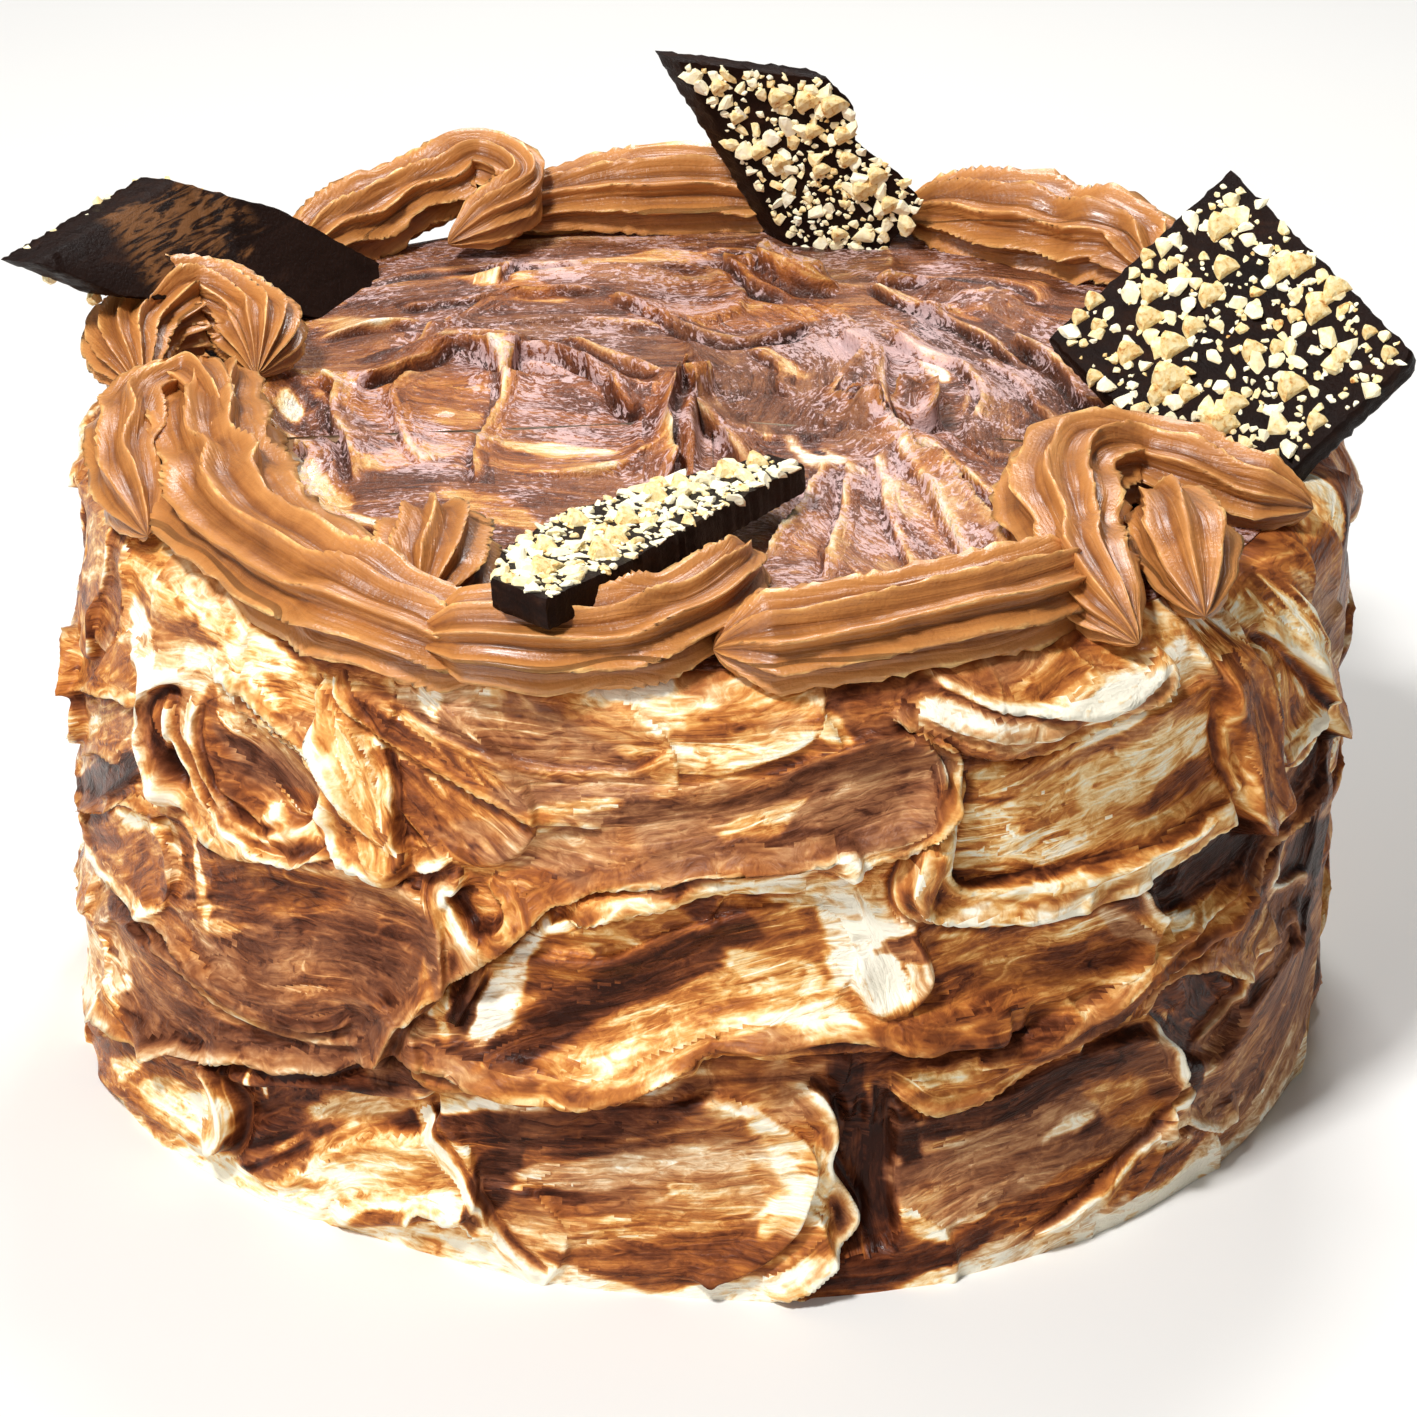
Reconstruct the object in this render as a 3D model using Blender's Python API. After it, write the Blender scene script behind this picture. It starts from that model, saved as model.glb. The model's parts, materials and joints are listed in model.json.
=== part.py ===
"""A round layer cake, uncut, as a set of closed solids.

The cake is one solid with the relief that a palette knife left in its frosting. A border of piped
chocolate buttercream lies along the rim of its top: each piped stroke is one solid, pressed a little
flat where it lies on the frosting and cut back where a later stroke lies over it. Four broken
shards of dark chocolate bark stand in the top, with chopped nuts fused to one face of each.

Lengths below are in millimetres and become metres when a mesh is made. The cake stands on its flat
base at the origin, +Z is up, and angles round the side start at the front (-Y) and grow to the right.
"""

import math
import random
from typing import NamedTuple

import bmesh
import bpy
import numpy as np
from mathutils import Euler, Vector

MM = 0.001

# Driving sizes of the cake
BASE_RADIUS = 110.0
TOP_RADIUS = 107.5
HEIGHT = 105.0
SHOULDER = 8.0
CAKE_FACES = 5400
SIDE_CREST = 1.8
TOP_CREST = 2.0
BASE_SNAP = 1.3
UNDER_ROPE_RADIUS = 74.0
ANGLE_STEPS = 300
SIDE_STEPS = 46
SHOULDER_STEPS = 5
TOP_STEPS = 44

# Driving sizes of the piping and the bark
ROPE_HALF_WIDTH = 9.5
ROPE_HALF_HEIGHT = 7.5
ROPE_STEP = 6.0
RIB_DEPTH = 0.17
INNER_SHARE = 0.8
TIP_LENGTH = 3.0
BARK_THICKNESS = 4.6
NUT_SIZE = 5.6

# Growth along the normals that leaves about 0.3 between two solids that touch
GROWTH = 0.42

SEED = 41


class Sweep(NamedTuple):
    """One stroke of the knife: its pressed bed and the crests that it pushed up round its edge."""

    start: tuple
    end: tuple
    half: float
    bow: float = 0.0
    level: float = 0.0
    up: float = 1.5
    down: float = 1.5
    tip: float = 1.5


# Sweeps on the side: points are (degrees round from the front, height), first laid first
SIDE_SWEEPS = (
    Sweep((-72, 60), (-58, 78), 11, up=1.0, down=2.0),
    Sweep((-74, 34), (-58, 50), 10, up=2.0),
    Sweep((-70, 10), (-50, 14), 10, tip=2.6),
    Sweep((-66, 27), (-28, 38), 9, bow=-3, level=0.4, down=2.6),
    Sweep((-43, 12), (-28, 30), 8, level=-2.6, up=0.0, down=0.0, tip=0.0),
    Sweep((-37, 8), (-24, 18), 9, level=0.5, up=2.2, tip=2.0),
    Sweep((-11, 18), (-1, 20), 16, level=-0.4, up=1.0, down=1.0, tip=2.8),
    Sweep((12, 34), (13, 14), 6, level=-2.8, up=0.0, down=0.0, tip=0.0),
    Sweep((23, 18), (36, 19), 15, level=-0.4, up=1.0, down=0.5, tip=2.0),
    Sweep((44, 38), (50, 28), 7, level=-2.8, up=0.0, down=0.0, tip=0.0),
    Sweep((53, 13), (69, 22), 13, up=1.5, tip=1.0),
    Sweep((-48, 48), (-28, 57), 12, bow=2, up=1.5, down=1.0, tip=2.6),
    Sweep((-16, 46), (6, 60), 10, bow=1, level=-0.6, up=2.0, down=2.2, tip=1.0),
    Sweep((12, 66), (14, 56), 6, level=1.2),
    Sweep((18, 54), (37, 56), 8, level=0.2, down=1.4, tip=2.0),
    Sweep((42, 58), (55, 60), 7, level=-2.0, up=0.0, down=0.0, tip=0.0),
    Sweep((56, 42), (70, 56), 10, level=-0.6, up=1.8),
    Sweep((-27, 36), (-2, 42), 2.5, bow=-1, level=2.2),
    Sweep((-1, 44), (24, 46), 2.5, bow=2, level=2.2),
    Sweep((16, 38), (40, 47), 2.5, bow=-2, level=2.0),
    Sweep((-45, 82), (-38, 76), 10, level=-1.6, up=2.4, down=2.4, tip=2.4),
    Sweep((-55, 84), (-53, 67), 2.6, bow=-2, level=2.8),
    Sweep((-27, 93), (-20, 84), 10, up=1.2),
    Sweep((-33, 96), (-27, 74), 4, level=1.8, tip=2.0),
    Sweep((-16, 80), (13, 89), 9, bow=-3, level=-0.4, up=1.0, down=1.6, tip=3.0),
    Sweep((-13, 68), (10, 78), 2.2, bow=2, level=2.6),
    Sweep((25, 77), (46, 81), 12, bow=1, level=-0.4, up=1.4, down=2.4, tip=1.0),
    Sweep((17, 92), (16, 70), 2.4, bow=2, level=2.2),
    Sweep((18, 100), (38, 99), 3, bow=-3, level=2.4),
    Sweep((56, 94), (60, 78), 9, level=0.8, tip=2.4),
    Sweep((58, 94), (70, 66), 2.6, bow=1, level=3.0),
    Sweep((46, 100), (54, 66), 5.0, bow=1, level=3.6, up=0.4, down=0.4, tip=0.6),
)

# Where the body is fuller or leaner than round: (degrees, height, spread of each, amount)
SWELLS = (
    (-62, 8, 16, 22, 2.6),
    (-27, 0, 13, 12, -2.0),
    (18, 0, 20, 12, 1.8),
    (80, 90, 35, 30, 1.3),
    (-88, 100, 30, 14, -1.0),
)

# Sweeps on the top: points are (x, y)
TOP_SWEEPS = (
    Sweep((-60, 62), (20, 78), 16, bow=4),
    Sweep((-66, 40), (-6, 56), 14, bow=6, down=2.5),
    Sweep((30, 60), (70, 62), 14, bow=3, down=2.5),
    Sweep((-50, 0), (-24, -6), 20, up=3.5, down=1.5, tip=2.5),
    Sweep((-60, 26), (-12, 12), 5, bow=9, level=1.6, down=2.5),
    Sweep((-72, 8), (-64, -34), 7, bow=-3, level=-2.2, down=3.0),
    Sweep((8, 46), (14, 4), 15, bow=4),
    Sweep((42, 48), (58, -4), 14, bow=5, up=2.5, down=1.5),
    Sweep((18, -34), (34, -58), 15),
    Sweep((34, -4), (50, -56), 4, bow=2, level=2.2),
    Sweep((-6, -20), (-3, 12), 3.5, bow=1, level=5.5, tip=1.5),
    Sweep((22, 10), (26, -6), 4, bow=2, level=4.5, tip=1.5),
    Sweep((34, 12), (36, -2), 3, level=4.0, tip=1.0),
    Sweep((2, 72), (16, 66), 5, level=3.0, up=2.0, tip=2.0),
    Sweep((38, 62), (62, 66), 3, bow=2, level=2.5),
)


class Rope(NamedTuple):
    """One piped stroke: (x, y, lift of its middle above the top, share of the full width)."""

    name: str
    way: tuple
    ribs: int = 5
    twist: float = 0.0


# The border, first piped first: a later stroke lies over the ones before it
ROPES = (
    Rope("swag_hidden_right", ((97, 2, 4, 0.7), (95, 26, 5, 1.0), (88, 46, 5, 0.9), (80, 60, 4, 0.5))),
    Rope("swag_back_right", ((36, 94, 4, 0.6), (52, 89, 5, 1.0), (66, 81, 5, 1.25), (78, 71, 6, 1.1),
                             (82, 60, 4, 0.8)), twist=0.4),
    Rope("swag_back", ((-40, 90, 4, 0.6), (-16, 97, 6, 0.9), (8, 99, 6, 0.9), (40, 93, 5, 0.6))),
    Rope("hairpin_back_left", ((-77, 67, 4, 0.6), (-67, 80, 5, 0.85), (-54, 90, 8.5, 0.85),
                               (-42, 94, 12, 0.8), (-35, 85, 10, 0.6), (-48, 74, 4, 0.35)), twist=0.3),
    Rope("rosette_left", ((-97, 2, 3, 0.5), (-100, 18, 7, 0.85), (-90, 29, 9, 0.95), (-79, 22, 7, 0.8),
                          (-78, 8, 4, 0.4)), ribs=7, twist=0.35),
    Rope("swag_left", ((-84, 6, 5, 0.75), (-83, -24, 5, 1.05), (-76, -53, 4, 1.2), (-63, -75, 4, 1.15),
                       (-48, -90, 3, 1.0), (-31, -98, 0, 0.5))),
    Rope("curl_left", ((-90, -56, 2, 0.4), (-95, -36, 5, 0.65), (-95, -16, 7, 0.65), (-88, -8, 8, 0.6),
                       (-82, -22, 8, 0.4), (-82, -42, 4, 0.3)), ribs=4),
    Rope("comb_front_left", ((-46, -88, 4, 0.8), (-44, -74, 6, 1.0), (-45, -54, 5, 0.5)),
         ribs=6, twist=0.3),
    Rope("swag_right", ((-1, -100, 4, 0.7), (14, -97, 5, 0.9), (29, -91, 5, 0.95), (44, -83, 5, 0.95),
                        (58, -70, 4, 0.7))),
    Rope("swag_front", ((-46, -96, 3, 0.5), (-35, -98, 5, 0.9), (-22, -99, 5, 0.95),
                        (-8, -95, 6, 0.9), (0, -85, 7, 0.75), (5, -70, 7, 0.3))),
    Rope("curl_right", ((97, -42, 3, 0.6), (82, -37, 5, 0.85), (68, -32, 7, 0.9), (57, -40, 8, 0.95),
                        (55, -60, 7, 0.95), (59, -80, 4, 0.7), (64, -90, 1, 0.4))),
    Rope("curl_right_inner", ((70, -46, 6, 0.4), (73, -62, 7, 0.8), (75, -82, 2, 0.5)), ribs=4),
)


class Bark(NamedTuple):
    """One shard: its frame (origin; tilt, pitch and yaw in degrees), outline and slanting break."""

    name: str
    origin: tuple
    turn: tuple
    outline: tuple
    slant: tuple
    nuts_in_front: bool
    nuts: int


BARKS = (
    Bark("bark_left", (-71, 47, 107), (50, 0, 63),
         ((-57, 30), (-44, 18.5), (0, -3), (17, -6), (24, 0), (8, 18), (-13, 31.5)),
         (-2.4, 4.2), False, 14),
    Bark("bark_back", (26, 84, 107), (100, 0, -8),
         ((-11.5, -0.5), (-7, -8), (6, -8), (9, 0), (14.8, 8.7), (11, 14), (2, 21.4), (1.4, 28.6),
          (-3.5, 34), (-31.5, 35.8)),
         (-5.2, -0.5), True, 22),
    Bark("bark_right", (85, -24, 107), (45, 0, -14),
         ((-33, 20.5), (-14, 4), (4, -9), (12, 2), (27, 22.5), (27.5, 25), (-7, 55)),
         (0.8, -0.8), True, 27),
    Bark("bark_front", (-9, -68, 117), (0, 5, 47),
         ((-41, -15), (-21, -12), (37, 2.5), (36, 9), (8.5, 10), (-12, 10), (-31.5, 3.5), (-41.5, -4)),
         (0.0, -1.0), True, 20),
)


def unit(x):
    """The share x limited to 0..1 and eased at both ends."""
    x = np.clip(x, 0.0, 1.0)
    return x * x * (3.0 - 2.0 * x)


def stroke_place(points, sweep):
    """Share of the way along, distance from the middle line, and side (+1 above) for each point."""
    start = np.array(sweep.start, float)
    end = np.array(sweep.end, float)
    across = np.array((start[1] - end[1], end[0] - start[0]))
    across /= np.linalg.norm(across)
    middle = (start + end) / 2 + 2 * sweep.bow * across
    share = np.linspace(0, 1, 13)[:, None]
    line = (1 - share) ** 2 * start + 2 * share * (1 - share) * middle + share**2 * end
    best = np.full(len(points), 1e9)
    along = np.zeros(len(points))
    side = np.zeros(len(points))
    for index, (a, b) in enumerate(zip(line[:-1], line[1:])):
        step = b - a
        part = np.clip((points - a) @ step / (step @ step), 0, 1)
        away = points - a - part[:, None] * step
        far = np.hypot(away[:, 0], away[:, 1])
        near = far < best
        best[near] = far[near]
        along[near] = (index + part[near]) / (len(line) - 1)
        side[near] = np.sign(step[0] * away[near, 1] - step[1] * away[near, 0])
    return along, best, side


def knife_relief(points, sweeps, crest_width):
    """Height of the frosting at each point after every sweep in turn, over gentle waves."""
    height = 0.5 * np.sin(points[:, 0] / 9 + np.sin(points[:, 1] / 11))
    for sweep in sweeps:
        reach = 1.3 * sweep.half
        low = np.minimum(sweep.start, sweep.end) - abs(sweep.bow) - reach
        high = np.maximum(sweep.start, sweep.end) + abs(sweep.bow) + reach
        near = np.flatnonzero(((points > low) & (points < high)).all(axis=1))
        if not len(near):
            continue
        along, far, side = stroke_place(points[near], sweep)
        ratio = far / sweep.half
        turned = unit((along - 0.86) / 0.14)
        rim = sweep.down + (sweep.up - sweep.down) * unit(0.5 + 0.5 * side * ratio)
        rim = rim * (1 - turned) + sweep.tip * turned
        shape = sweep.level + 0.8 * (ratio**2 - 0.5)
        shape = shape + rim * np.exp(-(((ratio - 0.9) * sweep.half / crest_width) ** 2))
        cover = unit((1.04 - ratio) * sweep.half / 1.2) * unit(0.2 + along / 0.25)
        height[near] = height[near] * (1 - cover) + shape * cover
    return height


def back_sweeps():
    """Sweeps for the side that can't be seen from the front, laid in rows by the same hand."""
    draw = random.Random(SEED)
    rows = []
    for row_height in (14, 88, 62, 37):
        angle = 74 + draw.uniform(0, 8)
        while angle < 272:
            length = draw.uniform(14, 24)
            half = draw.uniform(9, 13)
            rise = draw.uniform(-5, 9)
            middle = row_height + draw.uniform(-3, 3)
            rows.append(Sweep((angle, middle - rise / 2), (angle + length, middle + rise / 2), half,
                              bow=draw.uniform(-3, 3), level=draw.uniform(-0.8, 0.8),
                              up=draw.uniform(0.8, 2.4), down=draw.uniform(0.8, 2.4),
                              tip=draw.uniform(1.5, 2.8)))
            angle += length + draw.uniform(2, 6)
    return rows


def unrolled(sweep):
    """A side sweep with its angles turned into lengths round the cake."""
    arc = math.radians(1) * BASE_RADIUS
    start = (sweep.start[0] * arc, sweep.start[1])
    end = (sweep.end[0] * arc, sweep.end[1])
    return sweep._replace(start=start, end=end)


def profile_rows():
    """(radius, height, share of the side's relief, share of the top's relief), base to middle."""
    rows = []
    for step in range(SIDE_STEPS + 1):
        share = step / SIDE_STEPS
        radius = BASE_RADIUS + (TOP_RADIUS - BASE_RADIUS) * share
        rows.append((radius, (HEIGHT - SHOULDER) * share, 1.0, 0.0))
    for step in range(1, SHOULDER_STEPS + 1):
        turn = math.pi / 2 * step / SHOULDER_STEPS
        radius = TOP_RADIUS - SHOULDER * (1 - math.cos(turn))
        rows.append((radius, HEIGHT - SHOULDER * (1 - math.sin(turn)), math.cos(turn), math.sin(turn)))
    for step in range(1, TOP_STEPS):
        rows.append(((TOP_RADIUS - SHOULDER) * (1 - step / TOP_STEPS), HEIGHT, 0.0, 1.0))
    return np.array(rows)


def cake_points():
    """The rings of the cake's skin, one row for each ring."""
    rows = profile_rows()
    angles = np.linspace(-math.pi, math.pi, ANGLE_STEPS, endpoint=False)
    angle, radius = np.meshgrid(angles, rows[:, 0])
    height = np.repeat(rows[:, 1:2], ANGLE_STEPS, axis=1)
    arc = np.stack([angle * BASE_RADIUS, height], -1).reshape(-1, 2)
    plan = np.stack([radius * np.sin(angle), -radius * np.cos(angle)], -1).reshape(-1, 2)
    sweeps = [unrolled(sweep) for sweep in back_sweeps()]
    turn = 2 * math.pi * BASE_RADIUS
    sweeps += [
        sweep._replace(start=(sweep.start[0] - turn, sweep.start[1]),
                       end=(sweep.end[0] - turn, sweep.end[1]))
        for sweep in sweeps
    ]
    sweeps += [unrolled(sweep) for sweep in SIDE_SWEEPS]
    side = knife_relief(arc, sweeps, SIDE_CREST).reshape(angle.shape) * rows[:, 2:3]
    for around, level, spread, rise, amount in SWELLS:
        bump = np.exp(-(((np.degrees(angle) - around) / spread) ** 2) - ((height - level) / rise) ** 2)
        side = side + amount * bump * rows[:, 2:3]
    under_rope = 1 - 0.8 * unit((radius - UNDER_ROPE_RADIUS) / 10)
    top = knife_relief(plan, TOP_SWEEPS, TOP_CREST).reshape(angle.shape) * rows[:, 3:4] * under_rope
    radius = radius + side
    return np.stack([radius * np.sin(angle), -radius * np.cos(angle), height + top], -1)


def new_object(name, points, faces):
    """A mesh object in metres from points in millimetres."""
    mesh = bpy.data.meshes.new(name)
    mesh.from_pydata([tuple(MM * value for value in point) for point in points], [], faces)
    mesh.update()
    thing = bpy.data.objects.new(name, mesh)
    bpy.context.scene.collection.objects.link(thing)
    return thing


def tidy_mesh(thing):
    """Merges doubled points and turns the faces outward."""
    shape = bmesh.new()
    shape.from_mesh(thing.data)
    bmesh.ops.remove_doubles(shape, verts=shape.verts, dist=1e-6)
    bmesh.ops.dissolve_degenerate(shape, edges=shape.edges, dist=1e-6)
    bmesh.ops.recalc_face_normals(shape, faces=shape.faces)
    shape.to_mesh(thing.data)
    shape.free()


def keep_largest(thing):
    """Drops the loose scraps that a cut has left, and keeps the body."""
    shape = bmesh.new()
    shape.from_mesh(thing.data)
    left = set(shape.verts)
    bodies = []
    while left:
        front = [left.pop()]
        body = set(front)
        while front:
            vert = front.pop()
            for edge in vert.link_edges:
                other = edge.other_vert(vert)
                if other in left:
                    left.discard(other)
                    body.add(other)
                    front.append(other)
        bodies.append(body)
    bodies.sort(key=len)
    scraps = [vert for body in bodies[:-1] for vert in body]
    bmesh.ops.delete(shape, geom=scraps, context="VERTS")
    shape.to_mesh(thing.data)
    shape.free()


def settle(thing):
    """Applies the object's modifiers to its mesh."""
    graph = bpy.context.evaluated_depsgraph_get()
    old = thing.data
    thing.data = bpy.data.meshes.new_from_object(thing.evaluated_get(graph))
    thing.modifiers.clear()
    bpy.data.meshes.remove(old)


def cut(thing, cutter, piped=False):
    """Cuts the other object out of this one. The ribs of piped shapes need the MANIFOLD solver."""
    boolean = thing.modifiers.new("cut", "BOOLEAN")
    boolean.operation = "DIFFERENCE"
    boolean.object = cutter
    boolean.solver = "MANIFOLD" if piped else "EXACT"
    bpy.context.view_layer.update()
    settle(thing)


def near(thing, other):
    """Whether the two objects' boxes overlap."""
    boxes = []
    for item in (thing, other):
        points = np.array([vert.co[:] for vert in item.data.vertices])
        boxes.append((points.min(axis=0), points.max(axis=0)))
    (low, high), (other_low, other_high) = boxes
    return bool((low < other_high).all() and (other_low < high).all())


def make_cake():
    """The body of the cake: rings of points closed by a flat base and a middle point on top."""
    rings = cake_points()
    count = len(rings)
    points = list(rings.reshape(-1, 3))
    base_middle = len(points)
    top_middle = base_middle + 1
    points += [np.zeros(3), np.array((0.0, 0.0, rings[-1, :, 2].mean()))]
    faces = []
    for step in range(ANGLE_STEPS):
        after = (step + 1) % ANGLE_STEPS
        faces.append((base_middle, after, step))
        for row in range(count - 1):
            low = row * ANGLE_STEPS
            high = low + ANGLE_STEPS
            faces.append((low + step, low + after, high + after, high + step))
        last = (count - 1) * ANGLE_STEPS
        faces.append((last + step, last + after, top_middle))
    cake = new_object("frosted_cake", points, faces)
    fewer = cake.modifiers.new("fewer faces", "DECIMATE")
    fewer.ratio = CAKE_FACES / (2 * ANGLE_STEPS * count)
    bpy.context.view_layer.update()
    settle(cake)
    for vert in cake.data.vertices:
        if vert.co.z < BASE_SNAP * MM:
            vert.co.z = 0.0
    tidy_mesh(cake)
    return cake


def grown_copy(thing):
    """A copy of the object with its skin moved out along its normals, to cut a neighbour with."""
    shape = bmesh.new()
    shape.from_mesh(thing.data)
    shape.normal_update()
    for vert in shape.verts:
        vert.co += vert.normal * (GROWTH * MM)
    copy = bpy.data.objects.new(thing.name + "_grown", bpy.data.meshes.new(thing.name + "_grown"))
    shape.to_mesh(copy.data)
    shape.free()
    bpy.context.scene.collection.objects.link(copy)
    hide_cutter(copy)
    return copy


def hide_cutter(thing):
    thing.hide_render = True
    thing.display_type = "WIRE"


def smooth_way(way):
    """Points every ROPE_STEP along a smooth curve through the way's own points."""
    way = np.array(way, float)
    ends = np.vstack([2 * way[0] - way[1], way, 2 * way[-1] - way[-2]])
    points = []
    for index in range(len(way) - 1):
        a, b, c, d = ends[index : index + 4]
        steps = max(2, round(np.linalg.norm(c[:2] - b[:2]) / ROPE_STEP))
        for step in range(steps):
            s = step / steps
            points.append(0.5 * (2 * b + (c - a) * s + (2 * a - 5 * b + 4 * c - d) * s**2
                                 + (3 * b - a - 3 * c + d) * s**3))
    points.append(way[-1])
    return np.array(points)


def bends(line):
    """The signed curvature of the line in plan at each of its points, left turns positive."""
    ahead = np.gradient(line[:, :2], axis=0)
    turning = np.gradient(ahead, axis=0)
    cross = ahead[:, 0] * turning[:, 1] - ahead[:, 1] * turning[:, 0]
    return cross / np.maximum(np.hypot(ahead[:, 0], ahead[:, 1]), 0.01) ** 3


def make_rope(rope):
    """A ribbed section carried along the rope's way and drawn in to a point at both ends.

    On the inner side of a tight bend the section is kept short of the bend's own middle.
    """
    line = smooth_way(rope.way)
    ways = np.gradient(line[:, :3], axis=0)
    turns = bends(line).tolist()
    around = 2 * rope.ribs
    points = []
    for index, (x, y, lift, width) in enumerate(line.tolist()):
        ahead = Vector(ways[index]).normalized()
        aside = ahead.cross(Vector((0, 0, 1))).normalized()
        upward = aside.cross(ahead)
        turn = rope.twist * index / len(line) * math.pi
        for step in range(around):
            angle = 2 * math.pi * step / around + turn
            rib = 1 + RIB_DEPTH * (1 if step % 2 == 0 else -1)
            wide = ROPE_HALF_WIDTH * width * rib * math.cos(angle)
            if wide * turns[index] < -INNER_SHARE:
                wide = -INNER_SHARE / turns[index]
            tall = ROPE_HALF_HEIGHT * width**0.6 * rib * math.sin(angle)
            points.append(Vector((x, y, HEIGHT + lift)) + wide * aside + tall * upward)
    last = len(line) - 1
    for end, sign in ((0, -1), (last, 1)):
        x, y, lift = line[end, :3].tolist()
        points.append(Vector((x, y, HEIGHT + lift)) + Vector(ways[end]).normalized() * sign * TIP_LENGTH)
    faces = []
    for step in range(around):
        after = (step + 1) % around
        for row in range(last):
            low = row * around
            high = low + around
            faces.append((low + step, low + after, high + after, high + step))
        faces.append((len(points) - 2, after, step))
        faces.append((last * around + step, last * around + after, len(points) - 1))
    thing = new_object(rope.name, points, faces)
    tidy_mesh(thing)
    return thing


def bark_frame(bark):
    """The shard's frame: its own x runs across, y up the slab and z out of its front face."""
    turn = Euler([math.radians(angle) for angle in bark.turn], "XYZ").to_matrix().to_4x4()
    turn.translation = Vector(bark.origin)
    return turn


def make_slab(bark):
    """The bare slab of chocolate, its back outline moved by the slant of the break."""
    frame = bark_frame(bark)
    slant_x, slant_y = bark.slant
    points = [frame @ Vector((x, y, 0)) for x, y in bark.outline]
    points += [frame @ Vector((x + slant_x, y + slant_y, -BARK_THICKNESS)) for x, y in bark.outline]
    count = len(bark.outline)
    faces = [tuple(range(count)), tuple(reversed(range(count, 2 * count)))]
    for index in range(count):
        after = (index + 1) % count
        faces.append((index, count + index, count + after, after))
    thing = new_object(bark.name, points, faces)
    tidy_mesh(thing)
    return thing


def inside(point, outline, margin):
    """Whether a point lies in the outline and at least the margin from its edges."""
    held = False
    for index, (x1, y1) in enumerate(outline):
        x2, y2 = outline[(index + 1) % len(outline)]
        if (y1 > point[1]) != (y2 > point[1]):
            if point[0] < (x2 - x1) * (point[1] - y1) / (y2 - y1) + x1:
                held = not held
        edge = Vector((x2 - x1, y2 - y1))
        share = max(0, min(1, Vector((point[0] - x1, point[1] - y1)).dot(edge) / edge.length_squared))
        if math.dist(point, (x1 + share * edge.x, y1 + share * edge.y)) < margin:
            return False
    return held


def clear_of_piping(place, size):
    """Whether a nut at this place stays off the frosting and off every rope."""
    if place.z < HEIGHT + 6 + size and math.hypot(place.x, place.y) < TOP_RADIUS:
        return False
    for rope in ROPES:
        for x, y, lift, width in smooth_way(rope.way):
            reach = 1.3 * ROPE_HALF_WIDTH * width + size
            if (place - Vector((x, y, HEIGHT + lift))).length < reach:
                return False
    return True


def add_nuts(slab, bark, draw):
    """Fuses seeded pieces of chopped nut to one face of the slab, the largest first."""
    frame = bark_frame(bark)
    group = bpy.data.collections.new(bark.name + "_nuts")
    low = Vector((min(p[0] for p in bark.outline), min(p[1] for p in bark.outline)))
    high = Vector((max(p[0] for p in bark.outline), max(p[1] for p in bark.outline)))
    placed = []
    tries = 0
    while len(placed) < bark.nuts and tries < 4000:
        tries += 1
        size = NUT_SIZE * (1.0 - 0.6 * len(placed) / bark.nuts) * draw.uniform(0.8, 1.1)
        spot = (draw.uniform(low.x, high.x), draw.uniform(low.y, high.y))
        place = frame @ Vector((*spot, 0.15 * size))
        if not bark.nuts_in_front:
            behind = (spot[0] + bark.slant[0], spot[1] + bark.slant[1], -BARK_THICKNESS - 0.15 * size)
            place = frame @ Vector(behind)
        crowded = any(math.dist(spot, other) < 0.52 * (size + far) for other, far in placed)
        if crowded or not inside(spot, bark.outline, 0.45 * size) or not clear_of_piping(place, size):
            continue
        placed.append((spot, size))
        shape = bmesh.new()
        bmesh.ops.create_icosphere(shape, subdivisions=1, radius=size / 2)
        stretch = Vector((draw.uniform(0.75, 1.15), draw.uniform(0.75, 1.15), draw.uniform(0.5, 0.8)))
        spin = Euler((draw.uniform(-0.3, 0.3), draw.uniform(-0.3, 0.3), draw.uniform(0, 6.3)))
        turn = frame.to_3x3() @ spin.to_matrix()
        for vert in shape.verts:
            knock = draw.uniform(0.86, 1.14)
            local = Vector([knock * stretch[axis] * vert.co[axis] for axis in range(3)])
            vert.co = (place + turn @ local) * MM
        mesh = bpy.data.meshes.new("nut")
        shape.to_mesh(mesh)
        shape.free()
        group.objects.link(bpy.data.objects.new("nut", mesh))
    union = slab.modifiers.new("nuts", "BOOLEAN")
    union.operation = "UNION"
    union.operand_type = "COLLECTION"
    union.collection = group
    union.solver = "EXACT"
    bpy.context.scene.collection.children.link(group)
    bpy.context.view_layer.update()
    settle(slab)
    for nut in list(group.objects):
        bpy.data.objects.remove(nut)
    bpy.data.collections.remove(group)
    tidy_mesh(slab)
    keep_largest(slab)


def give_material(thing, name, colour, roughness, coat):
    """A material of the object's own, with the colour seen in the photo."""
    material = bpy.data.materials.new(name)
    material.use_nodes = True
    shader = material.node_tree.nodes["Principled BSDF"]
    shader.inputs["Base Color"].default_value = (*colour, 1.0)
    shader.inputs["Roughness"].default_value = roughness
    shader.inputs["Metallic"].default_value = 0.0
    shader.inputs["Coat Weight"].default_value = coat
    thing.data.materials.clear()
    thing.data.materials.append(material)


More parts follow.
